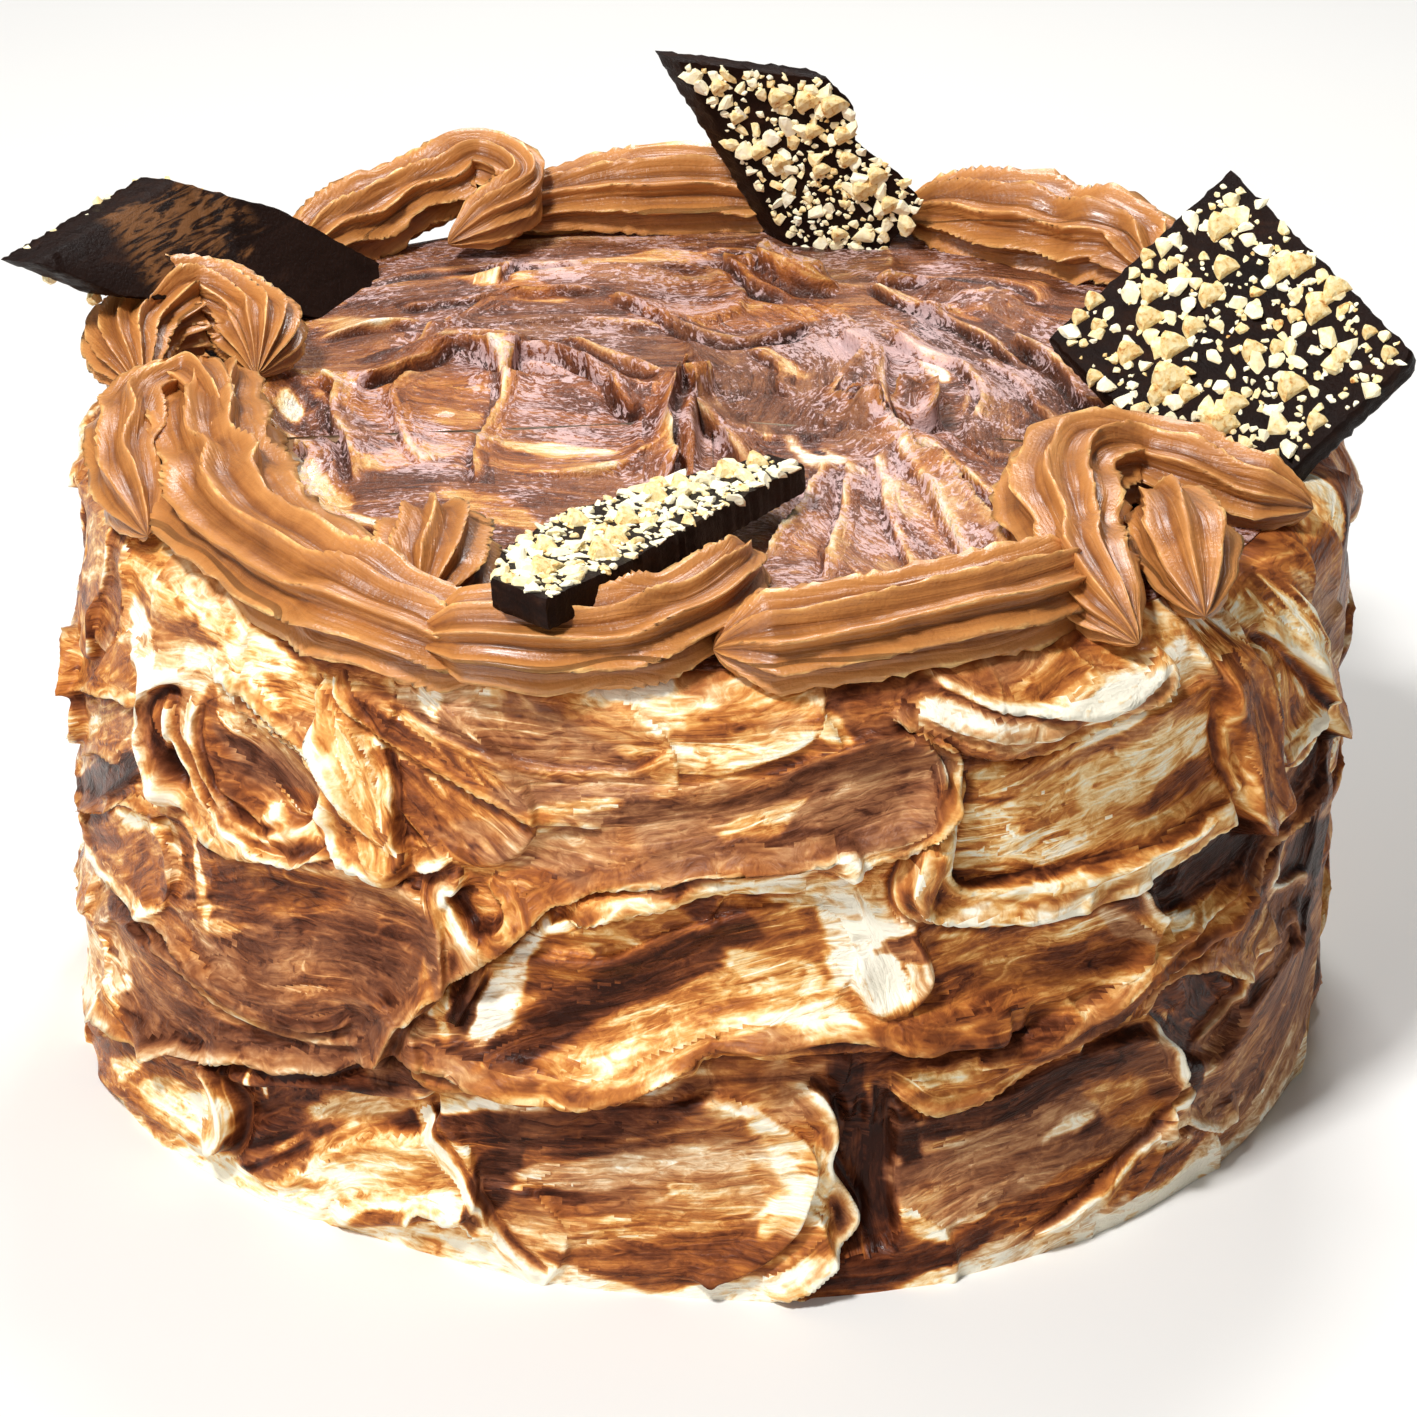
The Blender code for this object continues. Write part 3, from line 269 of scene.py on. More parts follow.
# Where the marbling is lighter or darker, before the knife drew it out:
# degrees and height of both ends, half width, tone, warm, gloss
SIDE_PATCHES = (
    (-70, 4, -60, 9, 7, 0.46, 0.95), (-60, 3, -50, 6, 3.0, 0.3, 0.8), (-60, 13, -51, 17, 4, 0.42, 0.95),
    (-56, 9, -51, 12, 2, 0.1, 0.8), (-63, 8, -59, 11, 2, 0.1, 0.8), (-68, 20, -62, 24, 3, 0.1, 0.4),
    (-44, 22, -33, 28, 5.5, 0.8, 0.75, 0.9), (-44, 11, -38, 20, 4.5, 0.86, 0.8, 0.9),
    # The thin pale patch at -42.6 degrees is a painted highlight on the dark glossy pocket
    (-42.6, 23.5, -42.3, 20, 0.9, 0.1, 0.9), (-36, 20, -24, 28.5, 2.6, 0.3, 0.6),
    (-37, 6.5, -28, 11, 3.4, 0.16, 0.9), (-35, 15, -25, 20, 3.5, 0.3, 0.9),
    (-30, 3, -26, 7, 3, 0.5, 1.0), (-27, 1.5, -14, 4, 3.0, 0.12, 0.6), (-24, 24, -21, 21, 3, 0.2, 0.9),
    # The dark patch at -20 to -4 degrees, 27 to 34 high, is partly dark marbling and partly painted shade
    # under the lip of the crest above
    (-23.6, 31, -20, 29, 2, 0.1, 0.7), (-20, 27, -4, 34, 4.5, 0.82, 0.6),
    (-19.5, 12, -16.5, 24, 3, 0.76, 0.4), (-14, 19.5, 4, 27, 3.6, 0.2, 0.35),
    (-12, 10.5, 2, 15, 2.6, 0.32, 0.6), (-6, 5, 7, 10, 4, 0.52, 0.8), (-12, 5, 0, 4, 3, 0.6, 0.7),
    (4, 32, 8, 20, 3.2, 0.1, 0.6), (5, 14, 8, 20, 2.0, 0.15, 0.9),
    (11.3, 38, 13.3, 14, 5, 0.9, 0.6, 1.0), (15, 34, 17, 24, 3, 0.86, 0.3, 0.5),
    (20, 29, 38, 34, 4, 0.8, 0.4), (18, 20, 34, 25, 4, 0.46, 0.1), (22, 13, 38, 16, 3.6, 0.42, 0.3),
    (30.4, 20.5, 33.5, 21.7, 1.8, 0.08, 0.5), (24, 8, 42, 11, 3.2, 0.55, 0.95),
    (36, 26, 40, 20, 4, 0.42, 0.7), (8, 3, 21, 6, 4, 0.74, 1.0, 0.5), (22, 1, 50, 2, 3, 0.05, 0.4),
    (41, 13, 46, 12.5, 2, 0.12, 0.4), (43.5, 38, 50, 31, 6.4, 0.72, 0.95, 0.9),
    (45.5, 27, 47, 18, 3.4, 0.92, 0.4, 0.8), (52, 24, 68, 34, 6, 0.58, 0.25),
    (50, 14, 66, 20, 6, 0.54, 0.35), (66, 36, 71, 27, 4, 0.92, 0.3), (54, 5, 68, 9, 3, 0.4, 0.3),
    (52, 1, 74, 5, 2.5, 0.12, 0.3), (40, 6, 47, 8, 2.6, 0.62, 0.9), (-50, 56, -36, 62, 6, 0.6, 0.75),
    (-44, 44, -30, 50, 7, 0.56, 0.35), (-50.6, 63, -48.4, 49, 2.0, 0.12, 0.8),
    (-62, 56, -56, 59, 3, 0.14, 0.7), (-53.4, 57, -53, 50, 2.4, 0.25, 0.4),
    (-70, 50, -56, 47, 5, 0.5, 0.9), (-50, 44, -44, 41, 2.5, 0.35, 0.2),
    (-66, 36, -50, 37, 3, 0.62, 0.4), (-62, 30, -40, 34.5, 3, 0.44, 0.5),
    (-80, 44, -60, 65, 3.5, 0.78, 0.3), (-80, 54, -66, 69, 2.6, 0.3, 0.7),
    (-78, 67, -62, 82, 4, 0.48, 0.8), (-78, 80, -60, 93, 4, 0.5, 0.6), (-84, 30, -70, 36, 4, 0.25, 0.5),
    (-82, 12, -72, 22, 5, 0.2, 0.7), (-23.6, 53, -22.4, 45, 1.9, 0.3, 0.95),
    (-21.6, 56, -20.8, 47, 1.3, 0.82, 0.4), (-18.6, 47, -15.4, 59, 3.6, 0.0, 0.3),
    (-16, 44, 2.5, 66, 4.4, 0.8, 0.7, 0.5), (0, 69, 5, 66, 3, 0.7, 0.8),
    (-12, 41.5, 3, 53, 4.0, 0.3, 1.0), (4, 69, 8, 61, 2.6, 0.42, 1.0),
    (3, 59, 8.5, 52, 4.4, 0.14, 0.95), (10.6, 66, 13.6, 56, 5.6, 0.0, 0.4),
    (15, 65.5, 22, 66, 1.6, 0.0, 0.3), (7.5, 51, 11, 49.5, 1.8, 0.08, 0.7),
    (-18.5, 32, -13, 35, 2.0, 0.0, 0.3), (-13, 35, -4, 39.5, 1.5, 0.0, 0.3),
    (-4, 40, 1, 44, 1.3, 0.08, 0.5), (-13, 69, -6, 73.3, 1.7, 0.1, 0.8),
    (-6, 73.5, 9.5, 77.2, 1.9, 0.0, 0.5), (-3, 74.5, -2, 75, 0.8, 0.4, 0.9),
    (17, 50, 34, 52, 5, 0.6, 1.0), (15, 62.5, 34, 61, 1.6, 0.62, 0.6),
    (22, 56.5, 34, 57.5, 2.2, 0.34, 0.8), (34.5, 59, 38, 54, 2.4, 0.28, 0.15),
    (20, 46.5, 36, 50, 1.8, 0.5, 0.9), (14.5, 61, 17, 60, 1.8, 0.6, 0.6),
    (8, 44.5, 30, 42.5, 3, 0.74, 0.7), (17, 37.6, 26, 38.8, 1.6, 0.28, 0.8),
    (36, 44.4, 40, 45.4, 1.5, 0.4, 1.0), (40.5, 46.4, 43, 46.6, 1.0, 0.1, 0.3),
    # The dark patch at 39.5 to 56 degrees is partly dark chocolate and partly painted shadow beneath the
    # crests near 65 high
    (44.5, 46, 47, 46, 1.0, 0.12, 0.3), (39.5, 60, 56, 56.5, 5.6, 0.9, 0.35, 0.4),
    (58, 62, 76, 68, 5, 0.74, 0.1), (56, 46, 66, 52, 4.6, 0.64, 0.3), (60, 50, 66, 48, 2.2, 0.36, 0.5),
    (66, 46, 76, 40, 5, 0.92, 0.3), (-22, 98, -8, 90, 6, 0.42, 0.35, 0.6),
    (-24.4, 103, -23.4, 98, 1.9, 0.06, 0.7), (-13, 104.5, -6, 103.5, 2.3, 0.05, 0.7),
    (-16, 86, -4, 85, 3, 0.46, 0.2), (2, 84, 6, 86.5, 1.8, 0.22, 0.6), (-20, 78, -8, 79, 4, 0.42, 0.4),
    (-14.5, 85, -9, 85.6, 1.3, 0.16, 0.7), (-4, 88, 4, 91.5, 1.8, 0.34, 0.5),
    (8, 100, 10, 97.5, 2.2, 0.22, 0.8), (-1, 101, 5, 102, 2.4, 0.3, 0.8),
    (8, 84, 16, 90, 4.5, 0.5, 0.2), (22, 88.5, 42, 88, 2.4, 0.46, 0.5),
    (31.6, 90.2, 36.5, 92.2, 1.9, 0.02, 0.6), (22, 82, 44, 85, 4.5, 0.2, 0.8),
    (21, 87, 30, 90, 2.6, 0.32, 0.8), (26, 76, 44, 81, 3.2, 0.1, 0.8), (20, 78, 30, 79, 3, 0.28, 1.0),
    (20, 73.5, 42, 73, 2.8, 0.2, 0.85), (40, 76, 47, 78, 2.6, 0.4, 0.9),
    (22, 65.8, 40, 66.4, 1.2, 0.12, 0.5), (45, 103, 47.5, 100.5, 2.6, 0.0, 0.3),
    (36, 104, 42, 103, 3, 0.3, 0.8), (19, 98.5, 28, 94.5, 3.4, 0.0, 0.4),
    (28, 95, 40, 99, 3.4, 0.0, 0.4), (22, 99.5, 30, 97.5, 1.0, 0.5, 0.5),
    (52, 100, 58, 92, 3.6, 0.18, 0.85), (56, 88, 60, 80, 4, 0.36, 0.95),
    (57, 75.5, 63, 77.5, 2.4, 0.36, 0.6), (62, 97, 64, 92, 3.6, 0.2, 0.5),
    (66, 92, 75, 80, 6, 0.44, 0.05), (69, 77.5, 77, 75.5, 1.6, 0.12, 0.3),
    (47.6, 97, 51.5, 80, 4.6, 0.55, 0.85, 0.7), (51.5, 80, 55, 65, 4.2, 0.5, 0.9, 0.7),
    (55, 64, 55.4, 62.6, 1.6, 0.3, 0.9, 0.7), (-60, 92, -56, 88, 2.6, 0.04, 0.4),
    (-56, 97, -50, 101, 3, 0.12, 0.8), (-45, 99, -39, 97, 4, 0.05, 0.8),
    (-50, 92, -46, 95, 2.4, 0.15, 0.6), (-38, 94, -33, 97, 3, 0.25, 0.9),
    (-47.6, 84, -47, 76, 2.6, 0.5, 0.7), (-44, 80, -38, 77, 4, 0.5, 0.25),
    (-42, 85, -34, 82, 2.6, 0.34, 0.5), (-40, 72.4, -36, 71.6, 1.6, 0.06, 0.7),
    (-39, 74.6, -34, 75, 1.4, 0.5, 1.0), (-31, 92, -28.4, 75, 3.0, 0.2, 0.85),
    (-54, 82, -53.6, 72, 1.0, 0.5, 0.7),
)


def ease(x):
    """The share x limited to 0..1 and eased at both ends."""
    x = np.clip(x, 0.0, 1.0)
    return x * x * (3.0 - 2.0 * x)


LATTICE = 512
CELLS_ROUND = 75
CELL = TURN / CELLS_ROUND
lattice = np.random.default_rng(SEED).uniform(-1, 1, (LATTICE, LATTICE))


def ripple(x, y, cells_round=LATTICE):
    """Soft random values between -1 and 1 at points given in cells; x repeats after cells_round."""
    x0 = np.floor(x).astype(int)
    y0 = np.floor(y).astype(int)
    right = ease(x - x0)
    above = ease(y - y0)
    x1 = (x0 + 1) % cells_round
    x0 = x0 % cells_round
    y1 = (y0 + 1) % LATTICE
    y0 = y0 % LATTICE
    low = lattice[x0, y0] * (1 - right) + lattice[x1, y0] * right
    high = lattice[x0, y1] * (1 - right) + lattice[x1, y1] * right
    return low * (1 - above) + high * above


def stroke_place(points, sweep):
    """For each point: the share along the stroke, the length along, the signed distance across,
    the distance used for the stroke's edge, the direction out from its middle line and its own."""
    start = np.array(sweep.start, float)
    end = np.array(sweep.end, float)
    across = np.array((start[1] - end[1], end[0] - start[0]))
    across /= np.linalg.norm(across)
    middle = (start + end) / 2 + 2 * sweep.bow * across
    share = np.linspace(0, 1, 15)[:, None]
    line = (1 - share) ** 2 * start + 2 * share * (1 - share) * middle + share**2 * end
    best = np.full(len(points), 1e9)
    along = np.zeros(len(points))
    beside = np.zeros(len(points))
    beyond = np.zeros(len(points))
    outward = np.zeros((len(points), 2))
    heading = np.zeros((len(points), 2))
    length = np.linalg.norm(np.diff(line, axis=0), axis=1)
    for index, (a, b) in enumerate(zip(line[:-1], line[1:])):
        step = (b - a) / length[index]
        run = (points - a) @ step
        held = np.clip(run, 0, length[index])
        away = points - a - held[:, None] * step
        far = np.hypot(away[:, 0], away[:, 1])
        near = far < best
        best[near] = far[near]
        along[near] = length[:index].sum() + held[near]
        beside[near] = step[0] * away[near, 1] - step[1] * away[near, 0]
        beyond[near] = (run - held)[near]
        outward[near] = away[near] / np.maximum(far[near], 0.01)[:, None]
        heading[near] = step
    power = STROKE_ROUNDNESS
    reach = (np.abs(beside) ** power + np.abs(beyond) ** power) ** (1 / power)
    return along / length.sum(), along + beyond, beside, reach, outward, heading


def lay_strokes(points, ground, sweeps, tone, warm, cells_round=LATTICE):
    """The skin of the frosting after every stroke in turn, one value for each point.

    Points are in millimetres on the unrolled side or in the plan of the top. Ground is the height
    before the first stroke, tone and warm its colour. Flow has the distances along and across the
    stroke that the streaks follow, heads the stroke's direction and its handedness.
    """
    height = ground.copy()
    tone = tone.copy()
    warm = warm.copy()
    flow = np.column_stack([points, np.zeros(len(points))])
    heads = np.tile((1.0, 0.0, 1.0), (len(points), 1))
    gloss = np.full(len(points), 0.25)
    push = np.zeros((len(points), 2))
    cells = points[:, 0] / CELL
    hand = [ripple(0.6 * cells, points[:, 1] / 15 + shift, round(0.6 * cells_round)) for shift in (7, 31)]
    points = points + 2.0 * np.stack(hand, -1)
    coarse = ripple(cells, points[:, 1] / CELL, cells_round)
    for number, sweep in enumerate(sweeps):
        reach = 1.45 * sweep.half
        low = np.minimum(sweep.start, sweep.end) - abs(sweep.bow) - reach
        high = np.maximum(sweep.start, sweep.end) + abs(sweep.bow) + reach
        near = np.flatnonzero(((points > low) & (points < high)).all(axis=1))
        if not len(near):
            continue
        share, along, beside, far, outward, heading = stroke_place(points[near], sweep)
        wander = 1 + 0.12 * coarse[near]
        ratio = far / (sweep.half * wander)
        side = np.clip(beside / sweep.half, -1, 1)
        turned = ease((share - 0.86) / 0.14)
        rim = sweep.down + (sweep.up - sweep.down) * ease(0.5 + 0.5 * side)
        rim = rim * (1 - turned) + sweep.tip * turned
        rim = rim * (0.95 + 0.3 * ripple(along / 13 + 9 * number, 0.6 * side + number))
        gap = (ratio - 0.93) * sweep.half
        crest = np.exp(-np.maximum(-gap, 0) / CREST_WIDTH) * np.exp(-(np.maximum(gap, 0) / 0.8) ** 2)
        broad = min(1.0, sweep.half / 8)
        drag = broad * (0.30 * ripple(along / 34 + 5 * number, beside / 3.1 + 7 * number)
                        + 0.14 * ripple(along / 22 + 3 * number, beside / 1.15 + 11 * number))
        shape = sweep.level + 0.8 * (np.minimum(ratio, 1.1) ** 2 - 0.5) + 0.35 * broad * side
        fold = np.exp(-np.abs((ratio - 0.74) * sweep.half + ripple(along / 6, side + number)) / 0.8)
        shape = shape + rim * crest + 0.35 * broad * rim * fold + drag
        begun = along / 9 + 0.45 * ripple(along / 9, beside / 2.2 + 17 * number)
        cover = ease((1.06 - ratio) * sweep.half / 1.5) * ease(0.15 + begun)
        height[near] += cover * (shape - height[near])
        lip = 0.55 * np.maximum(rim, 0) * crest
        push[near] += cover[:, None] * (lip[:, None] * outward - push[near])

        # Corner tones: a darker top is partly marbling and partly painted shade under the lip above
        before, after = np.array(sweep.tone[:2]), np.array(sweep.tone[2:])
        upper = ease(0.5 + 0.5 * side)
        ends = np.clip(share, 0, 1)
        laid = (before[0] * upper + before[1] * (1 - upper)) * (1 - ends)
        laid += (after[0] * upper + after[1] * (1 - upper)) * ends
        laid += 0.13 * ripple(along / 30 + 5 * number, beside / 2.4 + 3 * number)
        # Painted highlight: the crest is made lighter by the stroke's edge and by a thin pale line along
        # its top
        laid += sweep.edge * crest * min(1.0, sweep.half / 6)
        painted_crest_highlight = np.exp(-((ratio - 0.95) * sweep.half / 0.5) ** 2) * np.clip(rim, 0, 1.5)
        laid -= 0.12 * painted_crest_highlight
        torn = ripple(along / 16 + number, beside / 1.5 + 7 * number)
        dye = ease((1.03 - ratio) * sweep.half / 1.6 + 0.35 * torn)
        torn = ripple(along / 18, beside / 1.7 + 13 * number) + 0.5 * ripple(along / 11, beside / 0.7)
        dye = dye * ease(0.35 + (along - 5 * side**2) / 16 + 1.1 * torn)
        tone[near] += dye * (laid - tone[near])
        warm[near] += dye * (sweep.warm - warm[near])
        gloss[near] += dye * (sweep.gloss - gloss[near])
        own = np.stack([along, beside, np.full(len(near), 31.0 * (number + 1))], -1)
        laid_here = (dye > 0.5)[:, None]
        flow[near] = np.where(laid_here, own, flow[near])
        own = np.column_stack([heading, np.ones(len(near))])
        heads[near] = np.where(laid_here, own, heads[near])
    return {"height": height, "push": push, "tone": tone, "warm": warm, "gloss": gloss, "flow": flow,
            "heads": heads}


def smooth_curve(way, spacing=None):
    """Points along a smooth curve through the way's own points, in any number of dimensions: six to
    a stretch, or one about every spacing of its plan."""
    way = np.array(way, float)
    ends = np.vstack([2 * way[0] - way[1], way, 2 * way[-1] - way[-2]])
    points = []
    for index in range(len(way) - 1):
        a, b, c, d = ends[index : index + 4]
        steps = max(2, round(np.linalg.norm(c[:2] - b[:2]) / spacing)) if spacing else 6
        for s in np.arange(steps) / steps:
            points.append(0.5 * (2 * b + (c - a) * s + (2 * a - 5 * b + 4 * c - d) * s**2
                                 + (3 * b - a - 3 * c + d) * s**3))
    points.append(way[-1])
    return np.array(points)


def spread_patches(points, skin, patches):
    """Colours patches of the frosting, with edges drawn out along each patch."""
    for number, patch in enumerate(patches):
        start, end, half, tone, warm = patch[:2], patch[2:4], patch[4], patch[5], patch[6]
        low = np.minimum(start, end) - half - 5
        high = np.maximum(start, end) + half + 5
        near = np.flatnonzero(((points > low) & (points < high)).all(axis=1))
        if not len(near):
            continue
        step = np.array(end, float) - start
        length = np.linalg.norm(step)
        step /= length
        away = points[near] - start
        along = away @ step
        beside = step[0] * away[:, 1] - step[1] * away[:, 0]
        beyond = along - np.clip(along, 0, length)
        taper = 1 - 0.4 * np.clip(np.abs(2 * along / length - 1), 0, 1) ** 2
        torn = ripple(along / 12 + 5 * number, beside / 1.9 + 3 * number)
        torn = torn + 0.6 * ripple(along / 7 + number, beside / 0.8 + 7 * number)
        far = np.hypot(beside / taper, beyond * 0.7) - 0.22 * (half + 1) * torn
        cover = ease(0.5 + (half - far) / (0.35 * half + 0.9))
        skin["tone"][near] += cover * (tone - skin["tone"][near])
        skin["warm"][near] += cover * (warm - skin["warm"][near])
        if len(patch) > 7:
            skin["gloss"][near] += cover * (patch[7] - skin["gloss"][near])


def raise_ridges(points, skin, ridges):
    """Raises the crests, each leaning over its own shadow, which is also painted darker into the tone
    beside it, with a painted highlight line along the top and streaks alongside.
    """
    for number, ridge in enumerate(ridges):
        line = smooth_curve(ridge.way)
        near = np.flatnonzero(((points > line.min(axis=0) - RIDGE_REACH)
                               & (points < line.max(axis=0) + RIDGE_REACH)).all(axis=1))
        if not len(near):
            continue
        best = np.full(len(near), 1e9)
        along = np.zeros(len(near))
        beside = np.zeros(len(near))
        lean = np.zeros((len(near), 2))
        done = 0.0
        for a, b in zip(line[:-1], line[1:]):
            length = np.linalg.norm(b - a)
            step = (b - a) / length
            away = points[near] - a
            held = np.clip(away @ step, 0, length)
            away = away - held[:, None] * step
            far = np.hypot(*away.T)
            closer = far < best
            best[closer] = far[closer]
            along[closer] = done + held[closer]
            beside[closer] = (step[1] * away[closer, 0] - step[0] * away[closer, 1]) * ridge.over
            lean[closer] = np.array((step[1], -step[0])) * ridge.over
            done += length
        across = beside
        beside = np.copysign(best, beside)
        ends = ease(0.25 + along / 4) * ease(0.25 + (done - along) / 4)
        ends = ends * ease(1.3 - np.maximum(best - np.abs(across), 0) / (1.2 * ridge.width))
        size = 0.85 + 0.3 * ripple(along / 6, np.full(len(near), 3.0 * number))
        slope = np.where(beside < 0, np.exp(-(np.abs(beside) / (1.9 * ridge.width)) ** 1.3),
                         np.exp(-(beside / (0.9 * ridge.width)) ** 2))
        echo = np.exp(-np.abs(beside + 2.6 * ridge.width) / (0.5 * ridge.width))
        rise = 1.35 * ridge.height * size * ends
        skin["height"][near] += rise * (slope + 0.22 * echo)
        dip = np.exp(-((beside - 1.7 * ridge.width) / ridge.width) ** 2)
        skin["height"][near] -= 0.4 * rise * dip
        skin["push"][near] += (0.5 * rise * slope**2)[:, None] * lean
        line_share = np.exp(-((beside + 0.3) / (0.75 * ridge.width)) ** 2) * ends
        skin["tone"][near] += 0.85 * line_share * (ridge.tone - skin["tone"][near])
        # Painted highlight: a thin pale line along the top of the crest
        painted_crest_highlight = np.exp(-((beside - 0.1) / 0.6) ** 2) * ends * (0.75 + 0.5 * ripple(along / 7, beside * 0))
        skin["tone"][near] -= 0.28 * painted_crest_highlight
        skin["warm"][near] += 0.6 * line_share * (ridge.warm - skin["warm"][near])
        # Painted shadow: the tone is darkened in the dip beside the crest, where its shade falls
        shadow = 0.3 * dip + 0.45 * np.exp(-((beside - 1.5 * ridge.width) / (0.3 * ridge.width + 0.3)) ** 2)
        shadow = shadow * ends * min(1.0, ridge.height / 1.8)
        skin["tone"][near] += shadow * (1 - skin["tone"][near])
        beside_flow = (best < 2.2 * ridge.width + 0.6 * ripple(along / 5, beside)) & (ends > 0.3)
        own = np.stack([along, beside, np.full(len(near), 400.0 + 17 * number)], -1)
        skin["flow"][near] = np.where(beside_flow[:, None], own, skin["flow"][near])
        own = np.column_stack([lean[:, 1] * -ridge.over, lean[:, 0] * ridge.over,
                               np.full(len(near), -float(ridge.over))])
        skin["heads"][near] = np.where(beside_flow[:, None], own, skin["heads"][near])


def corner_flow(points, faces, skin):
    """Flow at each corner of the four-cornered faces. A face between two strokes takes one of them
    for all its corners, so that the streaks end cleanly where the strokes meet."""
    faces = np.array(faces)
    stroke = skin["flow"][faces, 2]
    first = np.take_along_axis(faces, stroke.argmax(axis=1)[:, None], axis=1)[:, 0]
    step = points[faces] - points[first][:, None]
    head = skin["heads"][first][:, None]
    along = step[..., 0] * head[..., 0] + step[..., 1] * head[..., 1]
    beside = (step[..., 1] * head[..., 0] - step[..., 0] * head[..., 1]) * head[..., 2]
    carried = skin["flow"][first][:, None] + np.stack([along, beside, 0 * along], -1)
    split = (stroke.max(axis=1) != stroke.min(axis=1))[:, None, None]
    return np.where(split, carried, skin["flow"][faces]).reshape(-1, 3)


def smoothed(values, keep_ends):
    """Rows and columns of values softened twice; the end columns can be kept as they are."""
    soft = values
    for _ in range(2):
        for axis in (0, 1):
            padded = np.concatenate([soft.take([0], axis), soft, soft.take([-1], axis)], axis)
            count = padded.shape[axis]
            soft = (padded.take(range(count - 2), axis) + 2 * padded.take(range(1, count - 1), axis)
                    + padded.take(range(2, count), axis)) / 4
    if keep_ends:
        column = np.arange(values.shape[1])
        share = ease(np.minimum(column, values.shape[1] - 1 - column) / 5)
        share = share.reshape(1, -1, *(1,) * (values.ndim - 2))
        soft = values + share * (soft - values)
    return soft


def back_sweeps():
    """Strokes for the side that can't be seen from the front, laid in rows by the same hand."""
    draw = random.Random(SEED)
    colours = random.Random(SEED + 1)
    rows = []
    for row_height in BACK_ROW_HEIGHTS:
        angle = 74 + draw.uniform(0, 8)
        while angle < 272:
            length = draw.uniform(14, 24)
            half = draw.uniform(9, 13)
            rise = draw.uniform(-5, 9)
            middle = row_height + draw.uniform(-3, 3)
            bow = draw.uniform(-3, 3)
            level = draw.uniform(-0.8, 0.8)
            calm = 0.45 if angle > 240 else 1.0
            up = calm * draw.uniform(0.8, 2.4)
            down = calm * draw.uniform(0.8, 2.4)
            tip = draw.uniform(1.5, 2.8)
            # Most of these tones are darker above: partly marbling, partly painted shade under the stroke
            # above
            tone = colours.choice(((0.75, 0.45, 0.5, 0.2), (0.3, 0.1, 0.35, 0.1),
                                   (0.6, 0.6, 0.55, 0.5), (0.8, 0.5, 0.6, 0.3),
                                   (0.55, 0.35, 0.6, 0.3), (0.7, 0.65, 0.45, 0.4)))
            rows.append(Sweep((angle, middle - rise / 2), (angle + length, middle + rise / 2), half,
                              bow=bow, level=level, up=up, down=down, tip=tip, tone=tone,
                              warm=colours.uniform(0.3, 0.9), gloss=colours.uniform(0.1, 0.6),
                              edge=colours.uniform(-0.35, 0.0)))
            angle += length + draw.uniform(2, 6)
    return rows


def under_sweeps():
    """The first rough coat all round, which shows between the later strokes."""
    draw = random.Random(SEED + 2)
    rows = []
    for row_height in UNDER_ROW_HEIGHTS:
        angle = -180 + draw.uniform(0, 10)
        while angle < 180:
            length = draw.uniform(20, 32)
            middle = row_height + draw.uniform(-4, 4)
            rise = draw.uniform(-4, 9)
            # Most of these tones are darker above: partly marbling, partly painted shade under the stroke
            # above
            tone = draw.choice(((0.7, 0.5, 0.5, 0.3), (0.5, 0.2, 0.45, 0.15), (0.6, 0.65, 0.6, 0.5),
                                (0.45, 0.3, 0.3, 0.2), (0.75, 0.55, 0.6, 0.4)))
            if row_height < 10:
                tone = (0.3, 0.0, 0.35, 0.0)
            rows.append(Sweep((angle, middle - rise / 2), (angle + length, middle + rise / 2),
                              draw.uniform(9, 13), bow=draw.uniform(-3, 3),
                              level=draw.uniform(-0.3, 0.3), up=draw.uniform(0.2, 0.9),
                              down=draw.uniform(0.2, 0.9), tip=draw.uniform(0.4, 1.2), tone=tone,
                              warm=draw.uniform(0.4, 0.95), gloss=draw.uniform(0.1, 0.6),
                              edge=draw.uniform(-0.2, 0.0)))
            angle += 0.7 * length
    return rows


def back_patches():
    """Marbling for the side that can't be seen from the front."""
    draw = random.Random(SEED + 3)
    patches = []
    for _ in range(BACK_PATCH_COUNT):
        angle = draw.uniform(78, 270)
        height = draw.uniform(0, 104)
        length = draw.uniform(3, 16)
        tone = draw.choice((0.0, 0.1, 0.15, 0.3, 0.4, 0.55, 0.6, 0.75, 0.85))
        half = draw.uniform(1.5, 5.5) if tone > 0.2 else draw.uniform(1.2, 3.5)
        patches.append((angle, height, angle + length, height + length * draw.uniform(-0.1, 0.9),
                        half, tone, draw.uniform(0.1, 1.0), draw.uniform(0.1, 0.8)))
    return patches


def back_ridges():
    """Crests for the side that can't be seen from the front."""
    draw = random.Random(SEED + 4)
    ridges = []
    for _ in range(BACK_RIDGE_COUNT):
        angle = draw.uniform(76, 262)
        height = draw.uniform(8, 98)
        slope = draw.uniform(-0.6, 1.2)
        way = []
        for _ in range(draw.randint(4, 8)):
            way.append((angle, min(103, max(1, height))))
            angle += draw.uniform(2.5, 4.5)
            height += slope * draw.uniform(1, 6)
            slope = min(1.3, max(-0.9, slope + draw.uniform(-0.5, 0.5)))
        ridges.append(Ridge(tuple(way), draw.uniform(1.0, 2.5), draw.uniform(0.8, 1.4),
                            draw.choice((0.05, 0.2, 0.35, 0.5, 0.6)), draw.uniform(0.3, 0.9)))
    return ridges


def row_order(sweep):
    """Thin strokes last, the lower rows first, and in a row the right-hand stroke first, because
    each stroke covers the start of the one to its right."""
    middle = (sweep.start[1] + sweep.end[1]) / 2
    return (sweep.half < 5.5, (middle > 32) + (middle > 66), -sweep.start[0])


